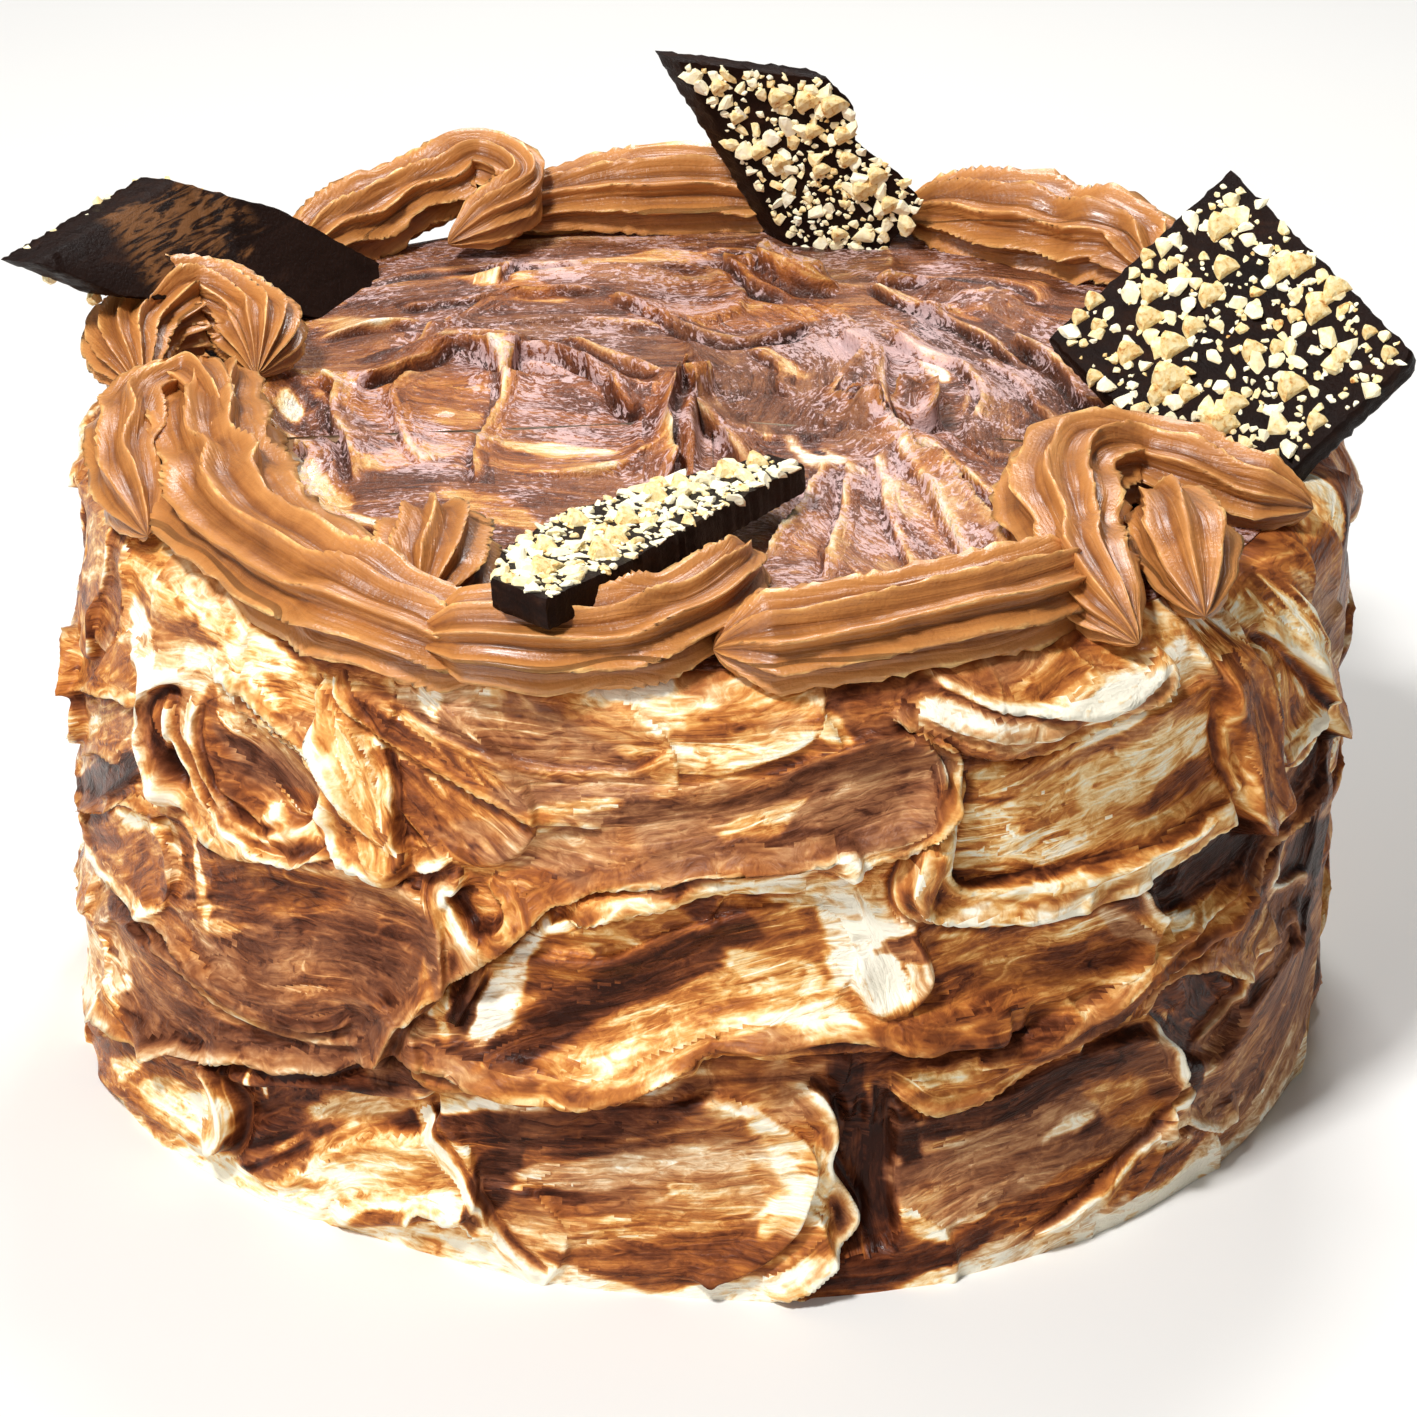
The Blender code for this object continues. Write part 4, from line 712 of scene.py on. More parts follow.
def unrolled(sweep, shift=0.0):
    """A side stroke with its angles turned into lengths round the cake."""
    arc = math.radians(1) * BASE_RADIUS
    return sweep._replace(start=(sweep.start[0] * arc + shift, sweep.start[1]),
                          end=(sweep.end[0] * arc + shift, sweep.end[1]))


def solid_piece(name, points, faces, rough_faces, skin):
    """A closed mesh object in metres; the last rough_faces faces are hidden ones left flat."""
    mesh = bpy.data.meshes.new(name)
    mesh.from_pydata((points * MM).tolist(), [], faces)
    smooth = np.ones(len(mesh.polygons), bool)
    smooth[len(smooth) - rough_faces :] = False
    mesh.polygons.foreach_set("use_smooth", smooth)
    loop_edges = np.zeros(len(mesh.loops), np.int32)
    mesh.loops.foreach_get("edge_index", loop_edges)
    sharp = np.zeros(len(mesh.edges), bool)
    sharp[loop_edges[4 * (len(smooth) - rough_faces) :]] = True
    mesh.attributes.new("sharp_edge", "BOOLEAN", "EDGE").data.foreach_set("value", sharp)
    for key in ("tone", "warm", "gloss"):
        layer = mesh.attributes.new(key, "FLOAT", "POINT")
        layer.data.foreach_set("value", skin[key].astype(np.float32))
    layer = mesh.attributes.new("flow", "FLOAT_VECTOR", "CORNER")
    flow = np.zeros((len(mesh.loops), 3), np.float32)
    flow[: len(skin["flow"])] = skin["flow"]
    layer.data.foreach_set("vector", flow.ravel())
    mesh.update()
    piece = bpy.data.objects.new(name, mesh)
    bpy.context.scene.collection.objects.link(piece)
    return piece


def side_piece(name, first, last, columns):
    """The frosting of the side between two angles, closed to the middle of the cake."""
    rows = [(BASE_RADIUS + (TOP_RADIUS - BASE_RADIUS) * share, (HEIGHT - SHOULDER) * share, 1.0)
            for share in np.linspace(0, 1, SIDE_ROWS)]
    for turn in np.linspace(0, math.pi / 2, SHOULDER_ROWS)[1:]:
        rows.append((TOP_RADIUS - SHOULDER * (1 - math.cos(turn)),
                     HEIGHT - SHOULDER * (1 - math.sin(turn)), math.cos(turn)))
    rows.append((TOP_RADIUS - SHOULDER - 4, HEIGHT - 0.6, 0.0))
    rows = np.array(rows)
    angles = np.radians(np.linspace(first, last, columns))
    angle, radius = np.meshgrid(angles, rows[:, 0])
    height = np.repeat(rows[:, 1:2], columns, axis=1)
    hold = np.repeat(rows[:, 2:3], columns, axis=1)
    flat = np.stack([angle * BASE_RADIUS, height], -1).reshape(-1, 2)
    ground = 0.5 * np.sin(12 * angle + np.sin(height / 11)).ravel()
    laid = sorted(under_sweeps(), key=row_order) + sorted([*back_sweeps(), *SIDE_SWEEPS], key=row_order)
    sweeps = [unrolled(sweep, shift) for sweep in laid for shift in (-TURN, 0, TURN)]
    plain = 0.5 + 0.15 * ripple(flat[:, 0] / TURN * 60, flat[:, 1] / 14, 60)
    skin = lay_strokes(flat, ground, sweeps, plain, np.full(len(flat), 0.6), CELLS_ROUND)
    skin["height"] = smoothed(skin["height"].reshape(angle.shape), True).ravel()
    skin["push"] = smoothed(skin["push"].reshape(*angle.shape, 2), True).reshape(-1, 2)
    swirl = np.stack([ripple(flat[:, 0] / CELL * k, flat[:, 1] / CELL * k + 60, k * CELLS_ROUND)
                      + 1j * ripple(flat[:, 0] / CELL * k, flat[:, 1] / CELL * k + 90, k * CELLS_ROUND)
                      for k in (1, 2)], -1) @ (1.3, 0.6)
    bent = flat + np.stack([swirl.real, swirl.imag], -1)
    arc = math.radians(1) * BASE_RADIUS
    shifts = (-TURN, 0, TURN)
    patches = [(p[0] * arc + s, p[1], p[2] * arc + s, *p[3:])
               for p in (*back_patches(), *SIDE_PATCHES) for s in shifts]
    spread_patches(bent, skin, patches)
    ridges = [ridge._replace(way=[(a * arc + s, z) for a, z in ridge.way])
              for ridge in (*back_ridges(), *SIDE_RIDGES) for s in shifts]
    raise_ridges(flat + 0.35 * np.stack([swirl.real, swirl.imag], -1), skin, ridges)
    out = skin["height"].reshape(angle.shape)
    for around, level, spread, rise, amount in SWELLS:
        turned = (np.degrees(angle) - around + 180) % 360 - 180
        out = out + amount * np.exp(-((turned / spread) ** 2) - ((height - level) / rise) ** 2)
    settle_down = ease(height / 5) * ease((HEIGHT - height) / 6)
    push = skin["push"].reshape(*angle.shape, 2) * settle_down[..., None]
    angle = angle + push[..., 0] / BASE_RADIUS
    height = height + push[..., 1]
    radius = radius + out * hold
    shell = np.stack([radius * np.sin(angle), -radius * np.cos(angle), height], -1).reshape(-1, 3)
    core = np.stack([0 * rows[:, 1], 0 * rows[:, 1], rows[:, 1]], -1)
    core[-2:, 2] = (HEIGHT - 9, HEIGHT - 8)
    points = np.vstack([shell, core])
    faces = []
    count = len(rows)
    for row in range(count - 1):
        low = row * columns
        high = low + columns
        faces += [(low + c, low + c + 1, high + c + 1, high + c) for c in range(columns - 1)]
    shown = len(faces)
    middle = count * columns
    for row in range(count - 1):
        low = row * columns
        high = low + columns
        faces.append((low + columns - 1, middle + row, middle + row + 1, high + columns - 1))
        faces.append((middle + row, low, high, middle + row + 1))
    top = (count - 1) * columns
    for c in range(columns - 1):
        faces.append((middle, c + 1, c))
        faces.append((middle + count - 1, top + c, top + c + 1))
    fill = {key: np.concatenate([skin[key], np.zeros(count)]) for key in ("tone", "warm", "gloss")}
    fill["flow"] = corner_flow(flat, faces[:shown], skin)
    return solid_piece(name, points, faces, len(faces) - shown, fill)


class Wire:
    """A node's output that can be used in sums: each sum adds its Math node."""

    def __init__(self, desk, socket):
        self.desk = desk
        self.socket = socket

    def maths(self, operation, first, second=0.0):
        return self.desk.add("ShaderNodeMath", {"operation": operation}, {0: first, 1: second})

    def __add__(self, other):
        return self.maths("ADD", self, other)

    def __radd__(self, other):
        return self.maths("ADD", other, self)

    def __sub__(self, other):
        return self.maths("SUBTRACT", self, other)

    def __rsub__(self, other):
        return self.maths("SUBTRACT", other, self)

    def __mul__(self, other):
        return self.maths("MULTIPLY", self, other)

    def __rmul__(self, other):
        return self.maths("MULTIPLY", other, self)

    def __truediv__(self, other):
        return self.maths("DIVIDE", self, other)

    def __pow__(self, other):
        return self.maths("POWER", self, other)


class Desk:
    """A node tree with one method that adds any node and returns one of its outputs."""

    def __init__(self, tree):
        self.tree = tree

    def add(self, kind, settings=None, inputs=None, out=0):
        """Adds a node: its settings are set first, then its inputs, each a value or a wire."""
        node = self.tree.nodes.new(kind)
        for key, value in (settings or {}).items():
            if key == "stops":
                ramp = node.color_ramp
                while len(ramp.elements) < len(value):
                    ramp.elements.new(0.5)
                for element, (place, tint) in zip(ramp.elements, value):
                    element.position = place
                    element.color = tint
            else:
                setattr(node, key, value)
        for key, value in (inputs or {}).items():
            socket = node.inputs[key]
            if isinstance(value, Wire):
                self.tree.links.new(value.socket, socket)
            else:
                socket.default_value = value
        self.last = node
        return Wire(self, node.outputs[out])

    def attribute(self, name, vector=False):
        return self.add("ShaderNodeAttribute", {"attribute_name": name}, out=1 if vector else 2)

    def stretch(self, vector, scale):
        return self.add("ShaderNodeVectorMath", {"operation": "MULTIPLY"}, {0: vector, 1: scale})

    def noise(self, vector, scale, detail=3.0, roughness=0.55, distortion=0.0, out=0):
        return self.add("ShaderNodeTexNoise", {},
                        {"Vector": vector, "Scale": scale, "Detail": detail,
                         "Roughness": roughness, "Distortion": distortion}, out)

    def between(self, value, low, high, to_low=0.0, to_high=1.0):
        """The value's place between low and high, eased, as a share or a range of its own."""
        return self.add("ShaderNodeMapRange", {"interpolation_type": "SMOOTHSTEP"},
                        {0: value, 1: low, 2: high, 3: to_low, 4: to_high})

    def blend(self, share, first, second):
        return self.add("ShaderNodeMix", {"data_type": "RGBA"}, {0: share, 6: first, 7: second}, 2)


def colour(red, green, blue):
    """A colour as seen (0 to 255) as the shader's own values."""
    seen = [value / 255 for value in (red, green, blue)]
    return (*[v / 12.92 if v <= 0.04045 else ((v + 0.055) / 1.055) ** 2.4 for v in seen], 1.0)


def new_material(name):
    """An empty material with its shader: returns the material, its desk and the shader node."""
    material = bpy.data.materials.new(name)
    material.use_nodes = True
    return material, Desk(material.node_tree), material.node_tree.nodes["Principled BSDF"]


def finish_material(desk, shader, looks, bump, bump_height):
    """Links the looks that change over the surface, and the fine relief, to the shader."""
    for key, value in looks.items():
        desk.tree.links.new(value.socket, shader.inputs[key])
    relief = desk.add("ShaderNodeBump", {}, {"Distance": bump_height * MM, "Height": bump})
    desk.tree.links.new(relief.socket, shader.inputs["Normal"])


def frosting_material(name, on_top):
    """Marbled frosting: streaks follow the strokes, and cream turns brown through caramel."""
    material, desk, shader = new_material(name)
    flow = desk.attribute("flow", vector=True)
    tone = desk.attribute("tone")
    warm = desk.attribute("warm")
    gloss = desk.attribute("gloss")
    place = desk.add("ShaderNodeTexCoord", out=3)
    millimetres = desk.stretch(place, (1000, 1000, 1000))

    bands = desk.noise(desk.stretch(flow, (0.045, 0.17, 1)), 1.0, 2.0, 0.45, 1.2)
    streaks = desk.noise(desk.stretch(flow, (0.07, 0.5, 1)), 1.0, 2.0, 0.5, 1.0)
    hairs = desk.noise(desk.stretch(flow, (0.1, 1.9, 1)), 1.0, 1.0, 0.5, 0.5)
    mottle = desk.noise(desk.stretch(flow, (0.22, 0.5, 1)), 1.0, 3.0, 0.6, 1.6)
    clouds = desk.noise(millimetres, 0.11, 3.0, 0.55, 0.8)
    flecks = desk.noise(millimetres, 1.1, 3.0, 0.7, 0.4)

    share = 0.65 if on_top else 1.0
    depth = tone + (bands - 0.5) * (0.8 * share) + (streaks - 0.5) * (0.55 * share)
    depth = depth + (hairs - 0.5) * (0.2 * share) + (mottle - 0.5) * (0.6 * share)
    depth = depth + (clouds - 0.5) * 0.3 + (flecks - 0.5) * 0.12 + (0.0 if on_top else 0.02)
    veins = desk.noise(desk.stretch(flow, (0.03, 0.16, 1)), 1.0, 1.0, 0.4, 1.2)
    dark = veins.maths("ABSOLUTE", veins - 0.55)
    pale = veins.maths("ABSOLUTE", veins - 0.43)
    some = desk.between(clouds + (mottle - 0.5) * 0.5, 0.48, 0.62, 0.1, 1.0)
    depth = depth + desk.between(dark, 0.0, 0.03, 0.16 * share, 0.0) * some
    depth = depth - desk.between(pale, 0.0, 0.03, 0.22 * share, 0.0) * some
    caramel = desk.add("ShaderNodeValToRGB", {"stops": (
        (0.04, colour(250, 243, 220)), (0.15, colour(246, 216, 160)), (0.27, colour(222, 164, 92)),
        (0.4, colour(186, 114, 54)), (0.55, colour(144, 80, 40)), (0.71, colour(102, 53, 30)),
        (0.87, colour(70, 33, 18)), (1.0, colour(46, 20, 11)))}, {0: depth})
    mocha = desk.add("ShaderNodeValToRGB", {"stops": (
        (0.04, colour(248, 241, 222)), (0.15, colour(228, 200, 162)), (0.29, colour(194, 146, 102)),
        (0.44, colour(158, 106, 70)), (0.58, colour(124, 76, 50)), (0.73, colour(92, 53, 36)),
        (0.87, colour(64, 32, 18)), (1.0, colour(42, 19, 10)))}, {0: depth})
    paint = desk.blend(desk.between(warm + (clouds - 0.5) * 0.8, 0.2, 0.8), mocha, caramel)
    if on_top:
        # Painted sheen: on the top, pale speckles of painted glints are mixed into the base colour
        glints = desk.noise(desk.stretch(flow, (0.6, 1.3, 1)), 1.0, 3.0, 0.7, 0.8)
        patches = desk.noise(millimetres, 0.06, 2.0, 0.5, 0.6)
        sheen = desk.between(glints + (patches - 0.5) * 0.8, 0.53, 0.63)
        paint = desk.blend(sheen * 0.6, paint, colour(242, 208, 206))
    looks = {
        "Base Color": paint,
        "Roughness": desk.between(gloss + (flecks - 0.5) * 0.5, 0.1, 0.9, 0.38, 0.2),
        "Coat Weight": desk.between(gloss, 0.2, 0.9, 0.0, 0.3 if on_top else 0.06),
    }
    shader.inputs["Coat Roughness"].default_value = 0.06
    shader.inputs["Specular IOR Level"].default_value = 0.4 if on_top else 0.08
    bump = streaks * 0.5 + hairs * 0.2 + mottle * 0.5 + flecks * (0.5 if on_top else 0.1)
    finish_material(desk, shader, looks, bump, 1.0 if on_top else 0.75)
    return material


side_finish = frosting_material("marbled frosting", False)
for name, first, last, columns in (("frosting_side_left", -82, 0, 520),
                                   ("frosting_side_right", 0, 82, 520),
                                   ("frosting_side_back", 82, 278, 480)):
    piece = side_piece(name, first, last, columns)
    piece.data.materials.append(side_finish)
    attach(piece, "root")
    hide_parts("frosted_cake")


# The frosting on the top
# The same frosting, more chocolate than cream, swirled with the knife and lifted into small folded
# peaks. It meets the side under the piped border.

TOP_SWEEPS = (
    Sweep((-60, 62), (20, 78), 16, bow=4, tone=(0.6, 0.66, 0.62, 0.6), warm=0.4),
    Sweep((-66, 40), (-6, 56), 14, bow=6, down=2.5, tone=(0.62, 0.66, 0.55, 0.6), warm=0.5),
    Sweep((30, 60), (70, 62), 14, bow=3, down=2.5, tone=(0.6, 0.66, 0.6, 0.62), warm=0.5),
    Sweep((-50, 0), (-24, -6), 20, up=3.5, down=1.5, tip=2.5, tone=(0.5, 0.52, 0.6, 0.55),
          warm=0.75),
    Sweep((-60, 26), (-12, 12), 5, bow=9, level=1.6, down=2.5, tone=(0.6, 0.6, 0.62, 0.62),
          warm=0.6),
    Sweep((-72, 8), (-64, -34), 7, bow=-3, level=-2.2, down=3.0, tone=(0.8, 0.7, 0.6, 0.2),
          warm=0.6, gloss=0.7),
    Sweep((8, 46), (14, 4), 15, bow=4, tone=(0.6, 0.62, 0.65, 0.62), warm=0.35),
    Sweep((42, 48), (58, -4), 14, bow=5, up=2.5, down=1.5, tone=(0.58, 0.5, 0.65, 0.6),
          warm=0.4),
    Sweep((18, -34), (34, -58), 15, tone=(0.62, 0.66, 0.6, 0.6), warm=0.4),
    Sweep((34, -4), (50, -56), 4, bow=2, level=2.2, tone=(0.62, 0.6, 0.5, 0.5), warm=0.7),
    Sweep((-6, -20), (-3, 12), 3.5, bow=1, level=5.5, tone=(0.5, 0.5, 0.5, 0.45), warm=0.9),
    Sweep((22, 10), (26, -6), 4, bow=2, level=4.5, tone=(0.6, 0.6, 0.55, 0.55), warm=0.7),
    Sweep((34, 12), (36, -2), 3, level=4.0, tone=(0.6, 0.6, 0.6, 0.6), warm=0.7),
    Sweep((2, 72), (16, 66), 5, level=3.0, up=2.0, tip=2.0, tone=(0.6, 0.6, 0.5, 0.5), warm=0.8),
    Sweep((38, 62), (62, 66), 3, bow=2, level=2.5, tone=(0.62, 0.6, 0.6, 0.6), warm=0.6),
)
# Crests of the top, each followed along (x, y)
TOP_RIDGES = (
    Ridge(((-61, 12), (-57, 18), (-50, 24), (-44, 27.5), (-37.5, 24), (-36, 17)), 2.2, 1.1, 0.45, 0.8),
    Ridge(((-36, 17), (-34, 24), (-27, 23), (-21, 18), (-17.5, 10), (-13, 1), (-10, -2)), 2.6, 1.2,
          0.6, 0.5),
    Ridge(((-50, 28.6), (-44, 32), (-33, 31), (-24, 26), (-15, 20), (-6.5, 13)), 1.4, 1.0, 0.45, 0.5),
    Ridge(((-5, 14), (-7, 4), (-8.5, -8), (-8.7, -16), (-8.3, -26)), 3.4, 1.5, 0.35, 0.9, -1),
    Ridge(((-4, 11), (-1, 3), (3, -8.5), (6.5, -19)), 2.6, 1.3, 0.5, 0.6),
    Ridge(((22, 12), (19.6, 4.6), (23, -4), (30.5, -15), (37, -30), (42.5, -48), (48, -57)), 3.8, 1.3,
          0.45, 0.6, -1),
    Ridge(((22, 11), (28, 3), (30.5, -6), (37, -18), (46, -38), (52.4, -52)), 1.6, 1.0, 0.4, 0.6),
    Ridge(((40, 13), (36, 10), (33, 4), (33, -4), (37, -4), (36.5, 8)), 3.6, 1.1, 0.5, 0.7),
    Ridge(((54.6, 36), (61, 26), (65.5, 8), (72, -6)), 2.6, 1.2, 0.45, 0.6),
    Ridge(((48, 30), (54, 20), (58, 4), (62, -10), (70, -18)), 1.2, 0.9, 0.5, 0.5),
    Ridge(((30.5, 63.5), (37, 55), (46, 44), (52, 35), (55, 28)), 1.8, 1.0, 0.25, 0.6),
    Ridge(((30.5, 67), (41.5, 69), (52.4, 68), (60, 62), (60, 55), (52, 55), (44, 57)), 2.4, 1.1, 0.5,
          0.7),
    Ridge(((-17.5, 60), (-13, 55), (-6.5, 44), (2, 37), (11, 38.5), (17.5, 45)), 1.8, 1.0, 0.6, 0.5),
    Ridge(((0, 83), (8, 82), (12, 76), (11, 68), (16, 62), (24, 62)), 3.0, 1.3, 0.35, 0.9),
    Ridge(((4, 78), (5, 70), (9, 62), (15, 57)), 2.4, 1.2, 0.4, 0.9),
    Ridge(((-73, 19), (-76, 10), (-74, -2), (-70, -9), (-66, -19), (-68, -32), (-62, -46), (-52, -54)),
          2.4, 1.2, 0.3, 0.8),
    Ridge(((-67, 18), (-63, 10), (-64, 0), (-60, -12), (-58, -28)), 2.0, 1.1, 0.4, 0.7),
    Ridge(((-37, 24), (-36, 7), (-38, -11), (-39, -30)), 1.5, 0.9, 0.3, 0.8),
    Ridge(((-52, 20), (-54, 6), (-52, -8), (-47, -22)), 1.1, 0.9, 0.4, 0.9),
    Ridge(((-33, 59), (-39, 55), (-47, 38), (-52, 26)), 1.3, 1.0, 0.55, 0.6),
    Ridge(((19.6, -20), (15, -36), (9, -58)), 1.3, 0.9, 0.25, 0.6),
    Ridge(((23, -20), (21, -40), (17, -66)), 1.3, 0.9, 0.3, 0.6),
    Ridge(((27, -18), (29, -42), (32, -66)), 1.3, 0.9, 0.3, 0.6),
    Ridge(((30, -16), (36, -38), (41, -60)), 1.1, 0.8, 0.3, 0.6),
    Ridge(((24, 39.5), (28, 28.6), (24, 18), (22, 11)), 1.6, 1.0, 0.5, 0.6),
    Ridge(((32.8, 41.7), (37, 33), (43.7, 24), (48, 11), (46, 0)), 1.6, 1.0, 0.45, 0.6),
    Ridge(((8, 33), (13, 24), (12, 16), (15, 12)), 1.2, 0.8, 0.5, 0.6),
    Ridge(((-64, 62), (-50, 70), (-32, 74), (-14, 74), (0, 70)), 1.8, 1.2, 0.55, 0.5),
    Ridge(((-40, 62), (-38, 70), (-36, 76)), 1.6, 1.2, 0.3, 0.9),
    Ridge(((-56, 50), (-40, 58), (-20, 62)), 1.2, 1.0, 0.6, 0.5),
    Ridge(((-70, 36), (-60, 42), (-52, 44)), 1.2, 1.0, 0.3, 0.6),
)
# Lighter and darker places of the top: both ends, half width, tone, warm, gloss
TOP_PATCHES = (
    (-2, 50, 14, 50, 8, 0.42, 1.0, 0.6), (-60, 10, -42, -4, 9, 0.42, 1.0, 0.7),
    (-50, 6, -40, 18, 5, 0.5, 1.0), (-30, -12, -22, -14, 4, 0.15, 0.9),
    (-52, -20, -44, -14, 5, 0.3, 1.0), (-40, -36, -30, -44, 4, 0.35, 0.9),
    (40, 31, 40.5, 20, 1.9, 0.0, 0.4), (-25, 34, -19, 33, 2.2, 0.05, 0.6),
    (11, 30, 16, 22, 3, 0.25, 0.7), (-73, 6, -72, 2, 2.2, 0.08, 0.8),
    (-67, -5, -68, -24, 2.6, 0.8, 0.9, 0.8), (-60, -44, -52, -50, 4, 0.05, 0.5),
    # The small dark patches at (-72, 12), (18, -15.5) and (22, -22) are painted shade standing for holes in
    # the frosting
    (-66, -24, -60, -44, 2.4, 0.2, 0.7), (-72, 12, -69, 8, 2.2, 0.85, 0.9),
    (16, -15, 22, -22, 3.2, 0.0, 0.2), (18, -15.5, 18.4, -16, 1.2, 0.95, 0.5),
    (22, -22, 23, -22, 1.0, 0.6, 0.9), (12, 2, 16, -12, 2.5, 0.75, 0.5),
    (30, -30, 38, -52, 4, 0.35, 0.4), (10, -40, 30, -66, 7, 0.45, 0.5), (50, -40, 58, -52, 3, 0.3, 0.7),
    (-44, 66, -30, 58, 4, 0.3, 0.9), (-20, 76, -2, 80, 4, 0.3, 0.8), (-72, 44, -62, 42, 3, 0.3, 0.6),
    (6, 74, 12, 62, 4, 0.4, 1.0), (38, 58, 46, 50, 3, 0.3, 0.6), (44, 30, 60, 0, 6, 0.55, 0.3),
    (-40, 40, 0, 30, 8, 0.6, 0.3), (0, 24, 18, -4, 7, 0.62, 0.25), (30, 66, 60, 72, 5, 0.62, 0.4),
    (44, 40, 66, 8, 9, 0.7, 0.3), (30, 4, 52, -12, 6, 0.66, 0.4),
)
RIM = 99.0
UNDER_ROPE_RADIUS = 74.0
TOP_CELLS = 296
SKIRT_DEPTH = 7.0


def top_piece():
    """A round sheet of frosting: a square grid rounded off to a disc, with a skirt and a floor."""
    steps = np.linspace(-1, 1, TOP_CELLS + 1)
    u, v = np.meshgrid(steps, steps)
    x = RIM * (u * np.sqrt(1 - v**2 / 2)).ravel()
    y = RIM * (v * np.sqrt(1 - u**2 / 2)).ravel()
    plan = np.stack([x, y], -1)
    ground = 0.5 * np.sin(x / 9 + np.sin(y / 11))
    plain = 0.6 + 0.1 * ripple(x / 14, y / 14)
    skin = lay_strokes(plan, ground, TOP_SWEEPS, plain, np.full(len(x), 0.5))
    side = TOP_CELLS + 1
    skin["height"] = smoothed(skin["height"].reshape(side, side), False).ravel()
    skin["push"] = smoothed(skin["push"].reshape(side, side, 2), False).reshape(-1, 2)
    swirl = np.stack([ripple(x / 9, y / 9), ripple(x / 9 + 70, y / 9)], -1)
    spread_patches(plan + 1.5 * swirl, skin, TOP_PATCHES)
    raise_ridges(plan + 0.6 * swirl, skin, TOP_RIDGES)
    radius = np.hypot(x, y)
    hold = 1 - 0.8 * ease((radius - UNDER_ROPE_RADIUS) / 10)
    out = skin["height"] * hold + 0.3 * ease((radius - 84) / 8)
    push = skin["push"] * hold[:, None] * ease((RIM - radius) / 6)[:, None]
    points = np.stack([x + push[:, 0], y + push[:, 1], HEIGHT + out], -1)
    faces = [(r * side + c, r * side + c + 1, (r + 1) * side + c + 1, (r + 1) * side + c)
             for r in range(TOP_CELLS) for c in range(TOP_CELLS)]
    flow = corner_flow(plan, faces, skin)
    edge = (list(range(TOP_CELLS))
            + [r * side + TOP_CELLS for r in range(TOP_CELLS)]
            + [TOP_CELLS * side + c for c in range(TOP_CELLS, 0, -1)]
            + [r * side for r in range(TOP_CELLS, 0, -1)])
    skirt = points[edge].copy()
    skirt[:, :2] *= (RIM - 1) / RIM
    skirt[:, 2] = HEIGHT - SKIRT_DEPTH
    count = len(points)
    points = np.vstack([points, skirt, [[0, 0, HEIGHT - SKIRT_DEPTH]]])
    for index, corner in enumerate(edge):
        after = (index + 1) % len(edge)
        faces.append((corner, count + index, count + after, edge[after]))
    for index in range(len(edge)):
        faces.append((count + index, len(points) - 1, count + (index + 1) % len(edge)))
    more = len(points) - count
    fill = {key: np.concatenate([skin[key], np.full(more, 0.5)]) for key in ("tone", "warm", "gloss")}
    fill["flow"] = flow
    return solid_piece("frosting_top", points, faces, 2 * len(edge), fill)


piece = top_piece()
piece.data.materials.append(frosting_material("marbled frosting of the top", True))
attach(piece, "root")
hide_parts("frosted_cake")


# The piped border
# Milk chocolate buttercream pressed through an open star nozzle, one stroke after another along the
# rim. Each stroke keeps the sharp ribs of the nozzle, and is drawn thin where the bag is pulled off.

ROPE_HALF_WIDTH = 9.5
ROPE_HALF_HEIGHT = 7.5
ROPE_STEP = 0.8
INNER_SHARE = 0.8
POINTS_PER_RIB = 12
RIB_DEPTH = 0.22
PULLED_END = 8.0


class Rope(NamedTuple):
    """One piped stroke: (x, y, lift of its middle above the top, share of the full width)."""

    name: str
    way: tuple
    ribs: int = 5
    twist: float = 0.0


